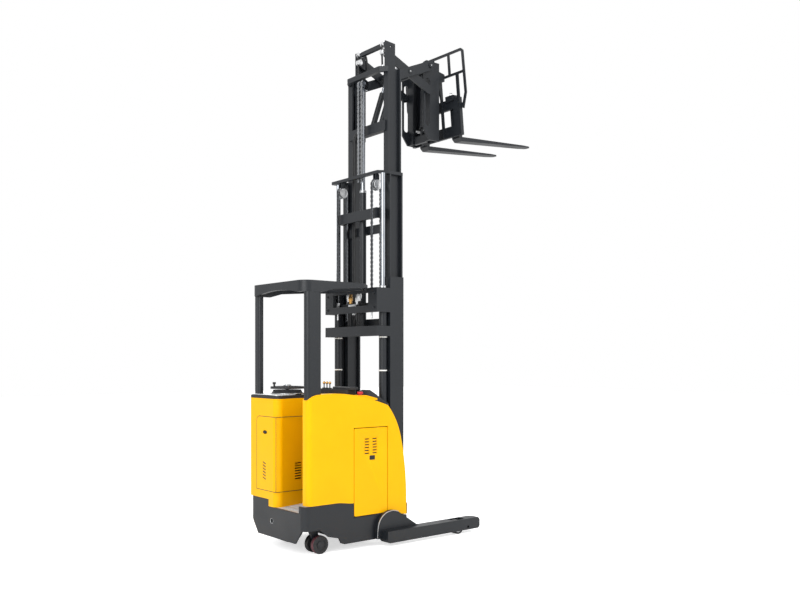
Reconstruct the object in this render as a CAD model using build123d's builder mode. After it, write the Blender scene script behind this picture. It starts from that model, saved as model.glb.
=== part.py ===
from build123d import *
from math import atan2, cos, degrees, hypot, radians, sin
import os

# Stand-on reach truck with a three-stage mast and a scissor reach.
# Millimetres. x runs forward to the forks, y to the truck's left, z up from the floor.
# Places along the truck are given from the rear face of the body, and the planes below
# carry them into the row frame, whose origin is on the floor under the middle of the truck.

# Body
body_length = 1065
body_half_width = 423
skin = 14
skirt_bottom = 58
skirt_rear_bottom = 93
skirt_top = 402
skirt_fall = 18
sill_height = 345
seam = 2
corner_radius = 60
bay_front = 480
bay_wall = 79
bulkhead_front = body_length - 315
deck_height = 1236
deck_thickness = 14

# Drive cover at the left rear
cover_skin = 6
cover_inner_y = -16
cover_slant_y = 95
cover_top = deck_height + 14
cover_rim = 26

# Steering disc on the console
steering_x = 240
steering_y = 205
steering_radius = 145

# Side panels: their top edge falls to the front in arcs
panel_rear = 38
panel_rear_height = deck_height + 19
panel_crest = deck_height + 60
panel_shoulder = deck_height - 47
panel_bend = deck_height - 346
panel_shoulder_x = body_length - 209
panel_front_low = 225

# Service door in the right side panel
door_rear = 498
door_front = body_length - 216
door_bottom = 272
door_top = 1004
door_gap = 6
louvre_count = 6
louvre_pitch = 37
louvre_length = 46
louvre_height = 12

# Guard over the operator
guard_underside = 2127
guard_depth = 93
guard_length = 605
guard_nose = 738
guard_half_width = 418
guard_nose_half_width = 290
guard_wall = 30
guard_bar = 34
guard_bar_count = 6
guard_corner = 90
guard_arch = 28
guard_nose_depth = 40
post_rear = 34
post_length = 146
left_post_length = 50

# Straddle legs and their load wheels
leg_inner_y = 430
leg_outer_y = 540
leg_rear = body_length - 303
leg_tip = 1850
leg_bottom = 30
leg_top = 130
leg_wall = 12
wing_outer_y = 463
wing_rear = body_length - 353
wing_front = body_length + 95
wing_bottom = 62
load_wheel_x = leg_tip - 250
leg_hole_x = leg_tip - 148
leg_hole_z = 56
leg_hole_radius = 12
leg_nose = 60
load_wheel_radius = 62
load_wheel_width = 78
wheel_gap = 4

# Drive wheel and its steered unit
drive_x = 250
drive_y = 190
drive_wheel_radius = 125
drive_wheel_width = 90
steer_plate_height = 290
motor_radius = 105
motor_height = 330

# Twin caster
caster_x = 150
caster_y = -318
caster_trail = 38
caster_radius = 75
caster_wheel_width = 42
caster_gap = 46
caster_plate_height = 205

# Towing eye in the rear of the skirt
tow_eye_y = 70
tow_eye_z = 227
tow_eye_radius = 24
tow_eye_depth = 30

# Mast uprights: outer channel, middle and inner beams, each set forward and inward
mast_rear = body_length - 151
stage_rear = {"outer": mast_rear, "middle": mast_rear + 26, "inner": mast_rear + 48}
stage_depth = {"outer": 150, "middle": 146, "inner": 148}
stage_web_outer = {"outer": 383, "middle": 312, "inner": 266}
stage_web = {"outer": 12, "middle": 10, "inner": 10}
stage_flange_outer = {"outer": 383, "middle": 345, "inner": 296}
stage_flange_inner = {"outer": 318, "middle": 272, "inner": 232}
flange = 16
mast_foot = 60
outer_top = 2300
stage_drop = 880
stage_gap = 6
middle_plate = 27
middle_plate_bottom = outer_top + stage_drop + 20
inner_bow_height = 46
inner_top = middle_plate_bottom + middle_plate + stage_drop + stage_gap + inner_bow_height + 1
middle_foot = mast_foot + stage_drop + stage_gap
inner_foot = mast_foot + 2 * (stage_drop + stage_gap)

# Cross members, layered from the rear so that each stage passes behind the next
root_cross_x = mast_rear - 149
root_cross_thickness = 35
middle_cross_x = mast_rear - 76
middle_cross_thickness = 22
inner_cross_thickness = 12
mount_frame_bottom = 1990
mount_frame_top = 2200
cross_plate = 12

# Side lift cylinders
cylinder_x = mast_rear - 39
cylinder_y = 330
cylinder_radius = 35
cylinder_bore = 22
cylinder_top = 2200
rod_radius = 20
rod_foot = 1100

# Chains and their wheels
chain_wheel_x = mast_rear - 52
chain_wheel_y = 252
chain_wheel_radius = 46
chain_wheel_rim = 4
chain_wheel_width = 26
chain_thickness = 12
chain_wheel_z = 3106
rear_chain_length = 1050
front_chain_length = 1190

# Free lift cylinder in the middle of the inner stage
free_x = mast_rear - 4
free_barrel_radius = 29
free_barrel_top = 3100
free_rod_radius = 20
free_bore = 22
free_wheel_x = mast_rear - 6
free_wheel_y = 24
free_wheel_radius = 36.5
free_wheel_width = 30
free_rod_foot = 2790
crosshead_z = 4010
crosshead_height = 62
crosshead_cheek = 6
free_chain_length = 880
free_chain_width = 22

# Lift carriage in the inner stage
carriage_plate_y = 208
carriage_plate = 16
carriage_rear = mast_rear + 76
carriage_front = mast_rear + 186
carriage_bottom = 3608
carriage_top = 4410
guide_roller_x = mast_rear + 122
guide_roller_radius = 52

# Scissor reach, open at rest
reach_pivot_x = mast_rear + 131
reach_pivot_z = 4314
reach_half_arm = 272.6
reach_angle = 23.5
reach_angle_in = 72
reach_angle_out = 15
arm_width = 84
arm_thickness = 16
outer_arm_y = 188
inner_arm_y = 168
pin_radius = 17
pin_fit = 0.3
track_roller_radius = 25
track_gap = 4
track_depth = 10

# Reach frame that the scissor carries
frame_plate_y = 146
frame_plate = 16
frame_lip_rear = 45
frame_post_rear = 29
frame_post_front = 145
frame_post_inner_y = 84
frame_bottom = 3636
frame_top = 4372
tilt_lug_z = frame_top - 60
tilt_lever_z = frame_bottom + 72
tilt_barrel_foot = tilt_lever_z + 82
tilt_barrel_length = 350

# Fork carriage, tilted back at rest about a pin at the top of the reach frame
tilt_forward_of_pivot = 180
hanger_y = 112
hanger_plate = 18
tilt_pivot_z = 4250
fork_tilt = 5.4
bar_rear = 22
bar_thickness = 36
carriage_half_width = 350
fork_y = 231
fork_width = 100
fork_thickness = 40
fork_blade = 977
fork_heel_drop = 613
fork_tip_thickness = 12
fork_tip_half_width = 30
fork_point_length = 110
backrest_half_width = 426
backrest_height = 222
backrest_bar = 12

# Derived places
cos_reach = cos(radians(reach_angle))
sin_reach = sin(radians(reach_angle))
cross_pin_x = reach_pivot_x + reach_half_arm * cos_reach
cross_pin_z = reach_pivot_z - reach_half_arm * sin_reach
front_pin_x = reach_pivot_x + 2 * reach_half_arm * cos_reach
low_pin_z = reach_pivot_z - 2 * reach_half_arm * sin_reach
post_front_x = front_pin_x + frame_post_front
tilt_x = front_pin_x + tilt_forward_of_pivot
shank_rear = bar_rear + bar_thickness + 2
fork_tip = shank_rear + fork_thickness + fork_blade
overall_length = (
    tilt_x + fork_tip * cos(radians(fork_tilt)) + fork_heel_drop * sin(radians(fork_tilt))
)
rear = -overall_length / 2

os.makedirs("parts", exist_ok=True)


def side_plane(y):
    """A plane seen from the truck's right: x from the rear face, z from the floor."""
    return Plane(origin=(rear, y, 0), x_dir=(1, 0, 0), z_dir=(0, -1, 0))


def plan_plane(z):
    """A level plane: x from the rear face, y to the left."""
    return Plane(origin=(rear, 0, z), x_dir=(1, 0, 0), z_dir=(0, 0, 1))


def rear_plane(x):
    """A plane seen along the truck: y to the left, z from the floor."""
    return Plane(origin=(rear + x, 0, 0), x_dir=(0, 1, 0), z_dir=(1, 0, 0))


def tilted_plane(y):
    """A side plane that tilts with the forks, with its origin on the tilt pin."""
    lean = radians(fork_tilt)
    return Plane(
        origin=(rear + tilt_x, y, tilt_pivot_z),
        x_dir=(cos(lean), 0, sin(lean)),
        z_dir=(0, -1, 0),
    )


def tilted_blade_plane(y):
    """A plane under the fork blades, seen from above: along the forks and to the left."""
    lean = radians(fork_tilt)
    drop = fork_heel_drop + 10
    return Plane(
        origin=(
            rear + tilt_x + drop * sin(lean),
            y,
            tilt_pivot_z - drop * cos(lean),
        ),
        x_dir=(cos(lean), 0, sin(lean)),
        z_dir=(-sin(lean), 0, cos(lean)),
    )


def tilted_face_plane(u):
    """The plane of the fork carriage's bars, seen along the forks."""
    lean = radians(fork_tilt)
    return Plane(
        origin=(
            rear + tilt_x + u * cos(lean),
            0,
            tilt_pivot_z + u * sin(lean),
        ),
        x_dir=(0, 1, 0),
        z_dir=(cos(lean), 0, sin(lean)),
    )


def prism(plane, points, amount, mode=Mode.ADD):
    """A straight-sided outline on a plane, drawn out along its normal."""
    with BuildSketch(plane) as outline:
        with BuildLine():
            Polyline(*points, close=True)
        make_face()
    extrude(outline.sketch, amount=amount, mode=mode)


def bar(plane, low, high, amount, mode=Mode.ADD):
    """A rectangle between two corners on a plane, drawn out along its normal."""
    width, height = high[0] - low[0], high[1] - low[1]
    with BuildSketch(plane) as outline:
        with Locations(((low[0] + high[0]) / 2, (low[1] + high[1]) / 2)):
            Rectangle(width, height)
    extrude(outline.sketch, amount=amount, mode=mode)


def disc(plane, centre, radius, amount, mode=Mode.ADD):
    """A round boss, pin or hole on a plane, drawn out along its normal."""
    with BuildSketch(plane) as outline:
        with Locations(centre):
            Circle(radius)
    extrude(outline.sketch, amount=amount, mode=mode)


def link(plane, start, end, width, amount, mode=Mode.ADD):
    """A flat arm with round ends about two pins."""
    middle = ((start[0] + end[0]) / 2, (start[1] + end[1]) / 2)
    span = hypot(end[0] - start[0], end[1] - start[1])
    slope = degrees(atan2(end[1] - start[1], end[0] - start[0]))
    with BuildSketch(plane) as outline:
        with Locations(middle):
            SlotCenterToCenter(span, width, rotation=slope)
    extrude(outline.sketch, amount=amount, mode=mode)


def both_sides(y_outer, thickness):
    """The two side planes from which a plate of this thickness is drawn to the right."""
    return (side_plane(y_outer), side_plane(-y_outer + thickness))


def save(shape, name):
    shape.label = name
    export_step(shape, f"parts/{name}.step")


def skirt_edge(rise):
    """The sagging stretch of the seam between the skirt and the panels, ahead of the bay."""
    low = skirt_top - skirt_fall
    Spline(
        (320, skirt_top + rise),
        (door_rear - door_gap, low + rise),
        tangents=((1, -0.02), (1, 0)),
    )


def crest_edge():
    """The stretch of a side panel's top edge over the bay, from its rear corner."""
    ThreePointArc(
        (panel_rear, panel_rear_height),
        (panel_rear + 36, panel_crest - 16),
        (132, panel_crest),
    )
    ThreePointArc((132, panel_crest), (266, panel_crest + 5), (bay_front - 79, panel_crest))


def panel_front_edge():
    """The front of a side panel: from the shoulder it drops steeply to the leg."""
    ThreePointArc(
        (panel_shoulder_x, panel_shoulder),
        (body_length - 112, panel_shoulder - 145),
        (body_length - 60, panel_bend),
    )
    ThreePointArc((body_length - 60, panel_bend), (body_length - 17, 640), (body_length - 3, 400))
    Line((body_length - 3, 400), (body_length, panel_front_low + 4))


# Skirt: a closed steel band round the foot of the body, cut away over the wheels
with BuildPart() as chassis_skirt:
    with BuildSketch(plan_plane(skirt_bottom)) as band:
        with Locations((body_length / 2, 0)):
            RectangleRounded(body_length, 2 * body_half_width, corner_radius)
        with Locations((body_length - corner_radius / 2, 0)):
            Rectangle(corner_radius, 2 * body_half_width)
        with Locations((body_length / 2 + skin / 2, 0)):
            RectangleRounded(
                body_length - skin,
                2 * (body_half_width - skin),
                corner_radius - skin,
                mode=Mode.SUBTRACT,
            )
        with Locations((body_length - corner_radius / 2, 0)):
            Rectangle(
                corner_radius + 2,
                2 * (body_half_width - skin),
                mode=Mode.SUBTRACT,
            )
    extrude(band.sketch, amount=skirt_top - skirt_bottom)
    # Rear edge is lower over the step, and its bottom corners are cut for the caster
    prism(
        rear_plane(-5),
        [
            (120, skirt_top + 20),
            (120, sill_height),
            (-body_half_width + bay_wall, sill_height),
            (-body_half_width + bay_wall, skirt_top + 20),
        ],
        corner_radius + 10,
        Mode.SUBTRACT,
    )
    bar(
        rear_plane(-5),
        (-body_half_width, skirt_bottom - 1),
        (body_half_width, skirt_rear_bottom),
        skin + 10,
        Mode.SUBTRACT,
    )
    for hand in (-1, 1):
        prism(
            rear_plane(-5),
            [
                (hand * 290, skirt_bottom - 1),
                (hand * 290, skirt_rear_bottom),
                (hand * 380, 205),
                (hand * (body_half_width + 5), 205),
                (hand * (body_half_width + 5), skirt_bottom - 1),
            ],
            corner_radius + 5,
            Mode.SUBTRACT,
        )
    prism(
        side_plane(body_half_width + 5),
        [
            (corner_radius - 1, skirt_bottom - 1),
            (corner_radius - 1, 205),
            (150, 205),
            (236, 139),
            (340, 113),
            (362, 70),
            (400, skirt_bottom - 1),
        ],
        2 * body_half_width + 10,
        Mode.SUBTRACT,
    )
    # Side edges sag before the door, step down under it and fall to the front
    with BuildSketch(side_plane(body_half_width + 5)) as sag:
        with BuildLine():
            skirt_edge(0)
            Polyline(
                (door_rear - door_gap, skirt_top - skirt_fall),
                (door_rear - door_gap, skirt_top + 20),
                (320, skirt_top + 20),
                (320, skirt_top),
            )
        make_face()
    extrude(sag.sketch, amount=2 * body_half_width + 10, mode=Mode.SUBTRACT)
    prism(
        side_plane(body_half_width + 5),
        [
            (door_rear - door_gap, skirt_top + 20),
            (door_rear - door_gap, door_bottom - door_gap),
            (door_front + door_gap, door_bottom - door_gap),
            (body_length + 1, panel_front_low),
            (body_length + 1, skirt_top + 20),
        ],
        2 * body_half_width + 10,
        Mode.SUBTRACT,
    )
    # Towing eye in the rear face, with a closed cup behind it
    disc(rear_plane(skin - 1), (tow_eye_y, tow_eye_z), tow_eye_radius + 6, tow_eye_depth)
    disc(rear_plane(-1), (tow_eye_y, tow_eye_z), tow_eye_radius, tow_eye_depth + 1, Mode.SUBTRACT)
save(chassis_skirt.part, "chassis_skirt")

# Floor of the operator's bay, seated inside the skirt, with its front wall
bay_edge_y = body_half_width - skin
with BuildPart() as bay_floor:
    bar(
        plan_plane(sill_height - 12),
        (skin, -bay_edge_y + 60),
        (bay_front, bay_edge_y - 60),
        12,
    )
    bar(plan_plane(sill_height - 12), (70, -bay_edge_y), (bay_front, bay_edge_y), 12)
    disc(
        plan_plane(sill_height - 13),
        (drive_x, drive_y),
        motor_radius + 10,
        14,
        Mode.SUBTRACT,
    )
save(bay_floor.part, "bay_floor")

# Bulkhead between the bay and the mast, and the battery behind the bay's front wall
with BuildPart() as bulkhead:
    prism(
        rear_plane(bulkhead_front - skin),
        [
            (-bay_edge_y, skirt_bottom + 4),
            (bay_edge_y, skirt_bottom + 4),
            (bay_edge_y, deck_height),
            (-bay_edge_y, deck_height),
        ],
        skin,
    )
    bar(
        plan_plane(skirt_bottom + 4),
        (bay_front, -bay_edge_y),
        (bulkhead_front - skin, bay_edge_y),
        skin,
    )
    bar(
        rear_plane(bay_front),
        (-bay_edge_y, skirt_bottom + 4),
        (bay_edge_y, deck_height),
        skin,
    )
save(bulkhead.part, "bulkhead")

battery_gap = 12
with BuildPart() as battery:
    bar(
        plan_plane(skirt_bottom + 4 + skin),
        (bay_front + skin + battery_gap, -bay_edge_y + 3 * battery_gap),
        (bulkhead_front - skin - battery_gap, bay_edge_y - 3 * battery_gap),
        790,
    )
save(battery.part, "battery")

# Drive cover: a folded sheet tower beside the bay, open below, with slanted louvres
with BuildPart() as drive_cover:
    with BuildSketch(plan_plane(skirt_top + seam)) as tower:
        with BuildLine():
            corners = [
                (0, body_half_width),
                (bay_front, body_half_width),
                (bay_front, cover_slant_y),
                (0, cover_inner_y),
            ]
            Polyline(*corners, close=True)
        make_face()
        fillet(tower.vertices().group_by(Axis.X)[0].sort_by(Axis.Y)[0], 55)
        fillet(tower.vertices().group_by(Axis.X)[0].sort_by(Axis.Y)[-1], 12)
    extrude(tower.sketch, amount=cover_top - skirt_top - seam)
    with BuildSketch(plan_plane(sill_height)) as toe:
        with BuildLine():
            Polyline(
                (0, 118),
                (skin + 2, 118),
                (skin + 2, body_half_width - skin - 2),
                (bay_front, body_half_width - skin - 2),
                (bay_front, cover_slant_y),
                (0, cover_inner_y),
                close=True,
            )
        make_face()
        fillet(toe.vertices().group_by(Axis.X)[0].sort_by(Axis.Y)[0], 55)
        rear_left = (skin + 2, body_half_width - skin - 2)
        fillet(toe.vertices().sort_by_distance(rear_left)[0], corner_radius - skin)
    extrude(toe.sketch, amount=skirt_top + seam - sill_height)
    with BuildSketch(plan_plane(sill_height - 1)) as hollow:
        with BuildLine():
            Polyline(
                (skin + 2 + cover_skin, body_half_width - skin - cover_skin - 2),
                (bay_front - cover_skin, body_half_width - skin - cover_skin - 2),
                (bay_front - cover_skin, cover_slant_y + cover_skin),
                (skin + 2 + cover_skin, cover_inner_y + cover_skin + 4),
                close=True,
            )
        make_face()
        fillet(hollow.vertices().group_by(Axis.X)[0].sort_by(Axis.Y)[0], 40)
    extrude(hollow.sketch, amount=cover_top - sill_height - cover_skin, mode=Mode.SUBTRACT)
    # Slanted louvres in the rear face and level ones in the side beside the bay
    for index in range(6):
        low = 560 + 26 * index
        prism(
            rear_plane(-5),
            [(165, low), (215, low + 16), (215, low + 27), (165, low + 11)],
            skin + 14,
            Mode.SUBTRACT,
        )
    for index in range(7):
        low = 560 + 22 * index
        bar(side_plane(200), (205, low), (285, low + 11), 260, Mode.SUBTRACT)
    disc(rear_plane(-5), (240, 960), 13, skin + 14, Mode.SUBTRACT)
save(drive_cover.part, "drive_cover")

# Dark rim and moulded console on top of the drive cover
console_top = cover_top + cover_rim + 42
with BuildPart() as console:
    with BuildSketch(plan_plane(cover_top)) as rim:
        with BuildLine():
            Polyline(
                (4, body_half_width - 4),
                (bay_front, body_half_width - 4),
                (bay_front, cover_slant_y + 4),
                (4, cover_inner_y + 4),
                close=True,
            )
        make_face()
        fillet(rim.vertices().group_by(Axis.X)[0].sort_by(Axis.Y)[0], 51)
    extrude(rim.sketch, amount=cover_rim)
    # Round foot under the steering disc, and a raised moulding ahead of it
    disc(
        plan_plane(cover_top + cover_rim - 1),
        (steering_x, steering_y),
        steering_radius - 8,
        console_top - cover_top - cover_rim + 1,
    )
    foot_rim = console.edges().filter_by(GeomType.CIRCLE).group_by(Axis.Z)[-1]
    chamfer(foot_rim, console_top - cover_top - cover_rim - 14, 18)
save(console.part, "console")

# Steering disc with its knob, on a short column
steering_wheel_z = console_top + 10
with BuildPart() as steering_wheel:
    with BuildSketch(plan_plane(steering_wheel_z)) as dish:
        with Locations((steering_x, steering_y)):
            Circle(steering_radius)
            Circle(steering_radius - 22, mode=Mode.SUBTRACT)
            Rectangle(2 * steering_radius - 30, 30)
            Circle(38)
    extrude(dish.sketch, amount=20)
    fillet(steering_wheel.edges().filter_by(GeomType.CIRCLE).group_by(Axis.Z)[-1], 6)
    disc(
        plan_plane(console_top + 0.5),
        (steering_x, steering_y),
        16,
        steering_wheel_z - console_top + 1,
    )
    knob_x = steering_x - steering_radius + 13
    disc(plan_plane(steering_wheel_z + 19), (knob_x, steering_y), 8, 22)
    disc(plan_plane(steering_wheel_z + 40), (knob_x, steering_y), 14, 18)
save(steering_wheel.part, "steering_wheel")

# Right side panel: the bay's side wall and the skin ahead of it, with the door opening
with BuildPart() as side_panel_right:
    with BuildSketch(side_plane(-body_half_width + bay_wall)) as cheek:
        with BuildLine():
            crest_edge()
            ThreePointArc(
                (bay_front - 79, panel_crest),
                ((bay_front + panel_shoulder_x) / 2 - 40, panel_crest - 40),
                (panel_shoulder_x, panel_shoulder),
            )
            panel_front_edge()
            Polyline(
                (body_length, panel_front_low + 4),
                (door_front + door_gap, door_bottom),
                (door_front + door_gap, skirt_top - skirt_fall + seam),
                (door_rear - door_gap, skirt_top - skirt_fall + seam),
            )
            skirt_edge(seam)
            Polyline(
                (320, skirt_top + seam),
                (panel_rear, skirt_top + seam),
                (panel_rear, panel_rear_height),
            )
        make_face()
    extrude(cheek.sketch, amount=bay_wall)
    # Ahead of the bay only the outer skin is left, so that battery and mast fit inside
    bar(
        side_plane(-body_half_width + bay_wall + 1),
        (bay_front, panel_front_low - 20),
        (body_length + 2, panel_crest + 10),
        bay_wall - skin + 1,
        Mode.SUBTRACT,
    )
    bar(
        side_plane(-body_half_width + skin + 2),
        (door_rear - door_gap, door_bottom - door_gap),
        (door_front + door_gap, door_top + door_gap),
        skin + 10,
        Mode.SUBTRACT,
    )
    fillet(
        side_panel_right.edges().filter_by(Axis.Z).group_by(Axis.X)[0].sort_by(Axis.Y)[0],
        corner_radius - 15,
    )
save(side_panel_right.part, "side_panel_right")

# Left side panel: the same skin ahead of the drive cover, with no door
with BuildPart() as side_panel_left:
    with BuildSketch(side_plane(body_half_width)) as cheek:
        with BuildLine():
            ThreePointArc(
                (bay_front + 1, panel_crest - 10),
                ((bay_front + panel_shoulder_x) / 2, panel_crest - 46),
                (panel_shoulder_x, panel_shoulder),
            )
            panel_front_edge()
            Polyline(
                (body_length, panel_front_low + 4),
                (door_front + door_gap, door_bottom),
                (door_rear - door_gap, door_bottom),
                (door_rear - door_gap, skirt_top + seam),
                (bay_front + 1, skirt_top + seam),
                (bay_front + 1, panel_crest - 10),
            )
        make_face()
    extrude(cheek.sketch, amount=skin)
save(side_panel_left.part, "side_panel_left")

# Louvred service door, hung on its rear edge
door_middle = (door_rear + door_front) / 2
with BuildPart() as service_door:
    with BuildSketch(side_plane(-body_half_width + skin - 1)) as leaf:
        with Locations((door_middle, (door_bottom + door_top) / 2)):
            RectangleRounded(door_front - door_rear, door_top - door_bottom, 14)
        for column in (-50, 50):
            for row in range(louvre_count):
                with Locations((door_middle + column, door_top - 54 - louvre_pitch * row)):
                    SlotOverall(louvre_length, louvre_height, mode=Mode.SUBTRACT)
        with Locations((door_middle, door_top - 314)):
            SlotOverall(60, 26, mode=Mode.SUBTRACT)
    extrude(leaf.sketch, amount=skin - 1)
save(service_door.part, "service_door")

# Deck over the battery, with a sloping cowl ahead of the bay
deck_rise = 44
cowl_rear = bulkhead_front - 118
cowl_inner_y = 300
with BuildPart() as top_deck:
    prism(
        side_plane(bay_edge_y),
        [
            (bay_front + 1, deck_height),
            (bay_front + 1, deck_height + deck_rise),
            (cowl_rear, deck_height + deck_rise),
            (bulkhead_front + 2, deck_height + deck_thickness),
            (bulkhead_front + 2, deck_height),
        ],
        2 * bay_edge_y,
    )
save(top_deck.part, "top_deck")

# Black corner cowl with the stop button, and the hand rest with the lever pod
with BuildPart() as corner_cowl:
    prism(
        side_plane(-cowl_inner_y),
        [
            (cowl_rear + 7, deck_height + deck_rise + 1),
            (cowl_rear + 22, deck_height + 80),
            (cowl_rear + 40, deck_height + 88),
            (bulkhead_front + 2, deck_height + 42),
            (bulkhead_front + 2, deck_height + deck_thickness + 1),
        ],
        bay_edge_y - cowl_inner_y - seam,
    )
    # Lip that runs on along the panel's inner side, down to its shoulder
    prism(
        side_plane(-bay_edge_y + seam + 24),
        [
            (cowl_rear + 30, deck_height + 60),
            (cowl_rear + 40, deck_height + 88),
            (panel_shoulder_x + 22, panel_shoulder + 10),
            (panel_shoulder_x + 22, panel_shoulder - 16),
            (bulkhead_front + 2, deck_height + deck_thickness + 1),
        ],
        24,
    )
    fillet(corner_cowl.edges().filter_by(Axis.Y).group_by(Axis.Z)[-1], 8)
save(corner_cowl.part, "corner_cowl")

pod_foot_height = 44
pad_height = 22
lever_count = 3
with BuildPart() as control_pod:
    with BuildSketch(plan_plane(deck_height + deck_rise + 0.5)) as foot:
        with Locations((bay_front + 90, -70)):
            RectangleRounded(110, 430, 24)
    extrude(foot.sketch, amount=pod_foot_height)
    with BuildSketch(plan_plane(deck_height + deck_rise + pod_foot_height)) as rest:
        with Locations((bay_front + 100, -180)):
            RectangleRounded(90, 300, 40)
    extrude(rest.sketch, amount=pad_height)
    fillet(control_pod.edges().group_by(Axis.Z)[-1], 8)
    # Levers on a row of round bosses, each with a ball at its head
    for index in range(lever_count):
        place = (bay_front + 80, 20 + 44 * index)
        disc(plan_plane(deck_height + deck_rise + pod_foot_height), place, 17, 8)
        disc(plan_plane(deck_height + deck_rise + pod_foot_height), place, 5, 46)
        ball = Plane(
            origin=(rear + place[0], place[1], deck_height + deck_rise + pod_foot_height + 50)
        )
        with Locations(ball):
            Sphere(11)
save(control_pod.part, "control_pod")

stop_button_x = cowl_rear - 44
stop_button_y = -381
with BuildPart() as stop_button:
    disc(plan_plane(deck_height + deck_rise), (stop_button_x, stop_button_y), 15, 12)
    disc(plan_plane(deck_height + deck_rise + 12), (stop_button_x, stop_button_y), 26, 18)
    fillet(stop_button.edges().filter_by(GeomType.CIRCLE).group_by(Axis.Z)[-1], 8)
save(stop_button.part, "stop_button")

# Guard: a folded rim with a cut nose and bars across it


def guard_outline(inset):
    """The rim's outline from above, moved inwards by a wall."""
    side = guard_half_width - inset
    nose = guard_nose_half_width - inset * 0.6
    return [
        (inset, side),
        (guard_length - inset * 0.5, side),
        (guard_nose - inset, nose),
        (guard_nose - inset, -nose),
        (guard_length - inset * 0.5, -side),
        (inset, -side),
    ]


with BuildPart() as guard_roof:
    prism(plan_plane(guard_underside), guard_outline(0), guard_depth)
    fillet(guard_roof.edges().filter_by(Axis.Z).group_by(Axis.X)[0], guard_corner)
    with BuildSketch(plan_plane(guard_underside - 1)) as well:
        with BuildLine():
            Polyline(*guard_outline(guard_wall), close=True)
        make_face()
        fillet(well.vertices().group_by(Axis.X)[0], guard_corner - guard_wall)
    extrude(well.sketch, amount=guard_depth + 2, mode=Mode.SUBTRACT)
    # Side rims grow slimmer ahead of the post, and the rear rim is arched
    prism(
        side_plane(guard_half_width + 5),
        [
            (post_rear + post_length + 6, guard_underside - 1),
            (post_rear + post_length + 6, guard_underside),
            (post_rear + post_length + 120, guard_underside + 33),
            (guard_length - 40, guard_underside + guard_depth - guard_nose_depth),
            (guard_nose + 5, guard_underside + guard_depth - guard_nose_depth),
            (guard_nose + 5, guard_underside - 1),
        ],
        2 * guard_half_width + 10,
        Mode.SUBTRACT,
    )
    with BuildSketch(rear_plane(-5)) as arch:
        with BuildLine():
            arch_half = guard_half_width - guard_corner - 10
            ThreePointArc(
                (-arch_half, guard_underside - 1),
                (0, guard_underside + guard_arch),
                (arch_half, guard_underside - 1),
            )
            Line((arch_half, guard_underside - 1), (-arch_half, guard_underside - 1))
        make_face()
    extrude(arch.sketch, amount=guard_wall + 10, mode=Mode.SUBTRACT)
    with BuildSketch(plan_plane(guard_underside + guard_depth - 20)) as bars:
        for index in range(guard_bar_count):
            place = (index + 1) * guard_nose / (guard_bar_count + 1)
            with Locations((place, 0)):
                Rectangle(guard_bar, 2 * guard_half_width)
        with BuildLine():
            Polyline(*guard_outline(guard_wall / 2), close=True)
        make_face(mode=Mode.INTERSECT)
    extrude(bars.sketch, amount=20)
save(guard_roof.part, "guard_roof")

# Guard posts: a deep tube over the right panel and a slim one over the drive cover
with BuildPart() as guard_posts:
    with BuildSketch(plan_plane(panel_rear_height)) as section:
        with Locations((post_rear + post_length / 2, -body_half_width + bay_wall / 2 + 3)):
            RectangleRounded(post_length, bay_wall - 8, 32)
    extrude(section.sketch, amount=guard_underside - panel_rear_height)
    with BuildSketch(side_plane(-body_half_width + bay_wall + 1)) as cheek:
        with BuildLine():
            crest_edge()
            Polyline(
                (bay_front - 79, panel_crest),
                (bay_front - 79, panel_rear_height - 10),
                (panel_rear, panel_rear_height - 10),
                (panel_rear, panel_rear_height),
            )
        make_face()
    extrude(cheek.sketch, amount=bay_wall + 2, mode=Mode.SUBTRACT)
    with BuildSketch(plan_plane(cover_top + cover_rim)) as section:
        with Locations((post_rear + left_post_length / 2, body_half_width - 50)):
            RectangleRounded(left_post_length, 84, 20)
    extrude(section.sketch, amount=guard_underside - cover_top - cover_rim)
save(guard_posts.part, "guard_posts")


def upright(plan_z, stage, hand, height):
    """One rolled upright of a mast stage: a web with a rear and a front flange."""
    back = stage_rear[stage]
    front = back + stage_depth[stage]
    web = stage_web_outer[stage]
    outer, inner = stage_flange_outer[stage], stage_flange_inner[stage]
    for low_x in (back, front - flange):
        bar(
            plan_plane(plan_z),
            (low_x, min(hand * outer, hand * inner)),
            (low_x + flange, max(hand * outer, hand * inner)),
            height,
        )
    bar(
        plan_plane(plan_z),
        (back, min(hand * web, hand * (web - stage_web[stage]))),
        (front, max(hand * web, hand * (web - stage_web[stage]))),
        height,
    )


def root_cross(low, high):
    """A cross member of the outer mast, held behind the cylinders by two cheek plates."""
    bar(
        rear_plane(root_cross_x),
        (-stage_web_outer["outer"], low),
        (stage_web_outer["outer"], high),
        root_cross_thickness,
    )
    for plane in both_sides(stage_web_outer["outer"], cross_plate):
        bar(plane, (root_cross_x, low), (stage_rear["outer"] + 40, high), cross_plate)


# Outer mast: two channels, a foot under each cylinder and cross members behind them
with BuildPart() as mast_outer:
    for hand in (-1, 1):
        upright(mast_foot, "outer", hand, outer_top - mast_foot)
        bar(
            plan_plane(mast_foot),
            (root_cross_x, min(hand * 288, hand * stage_web_outer["outer"])),
            (stage_rear["outer"] + 16, max(hand * 288, hand * stage_web_outer["outer"])),
            30,
        )
    root_cross(mast_foot, 240)
    root_cross(outer_top - 517, outer_top - 429)
save(mast_outer.part, "mast_outer")

with BuildPart() as mast_mount_frame:
    root_cross(mount_frame_bottom, mount_frame_top)
    bar(
        rear_plane(root_cross_x - 1),
        (-260, mount_frame_bottom + 60),
        (260, mount_frame_top - 40),
        root_cross_thickness + 2,
        Mode.SUBTRACT,
    )
    for plane in both_sides(stage_web_outer["outer"], cross_plate):
        bar(
            plane,
            (stage_rear["outer"], mount_frame_bottom - 1),
            (stage_rear["outer"] + 41, mount_frame_top + 1),
            cross_plate,
            Mode.SUBTRACT,
        )
save(mast_mount_frame.part, "mast_mount_frame")

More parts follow.
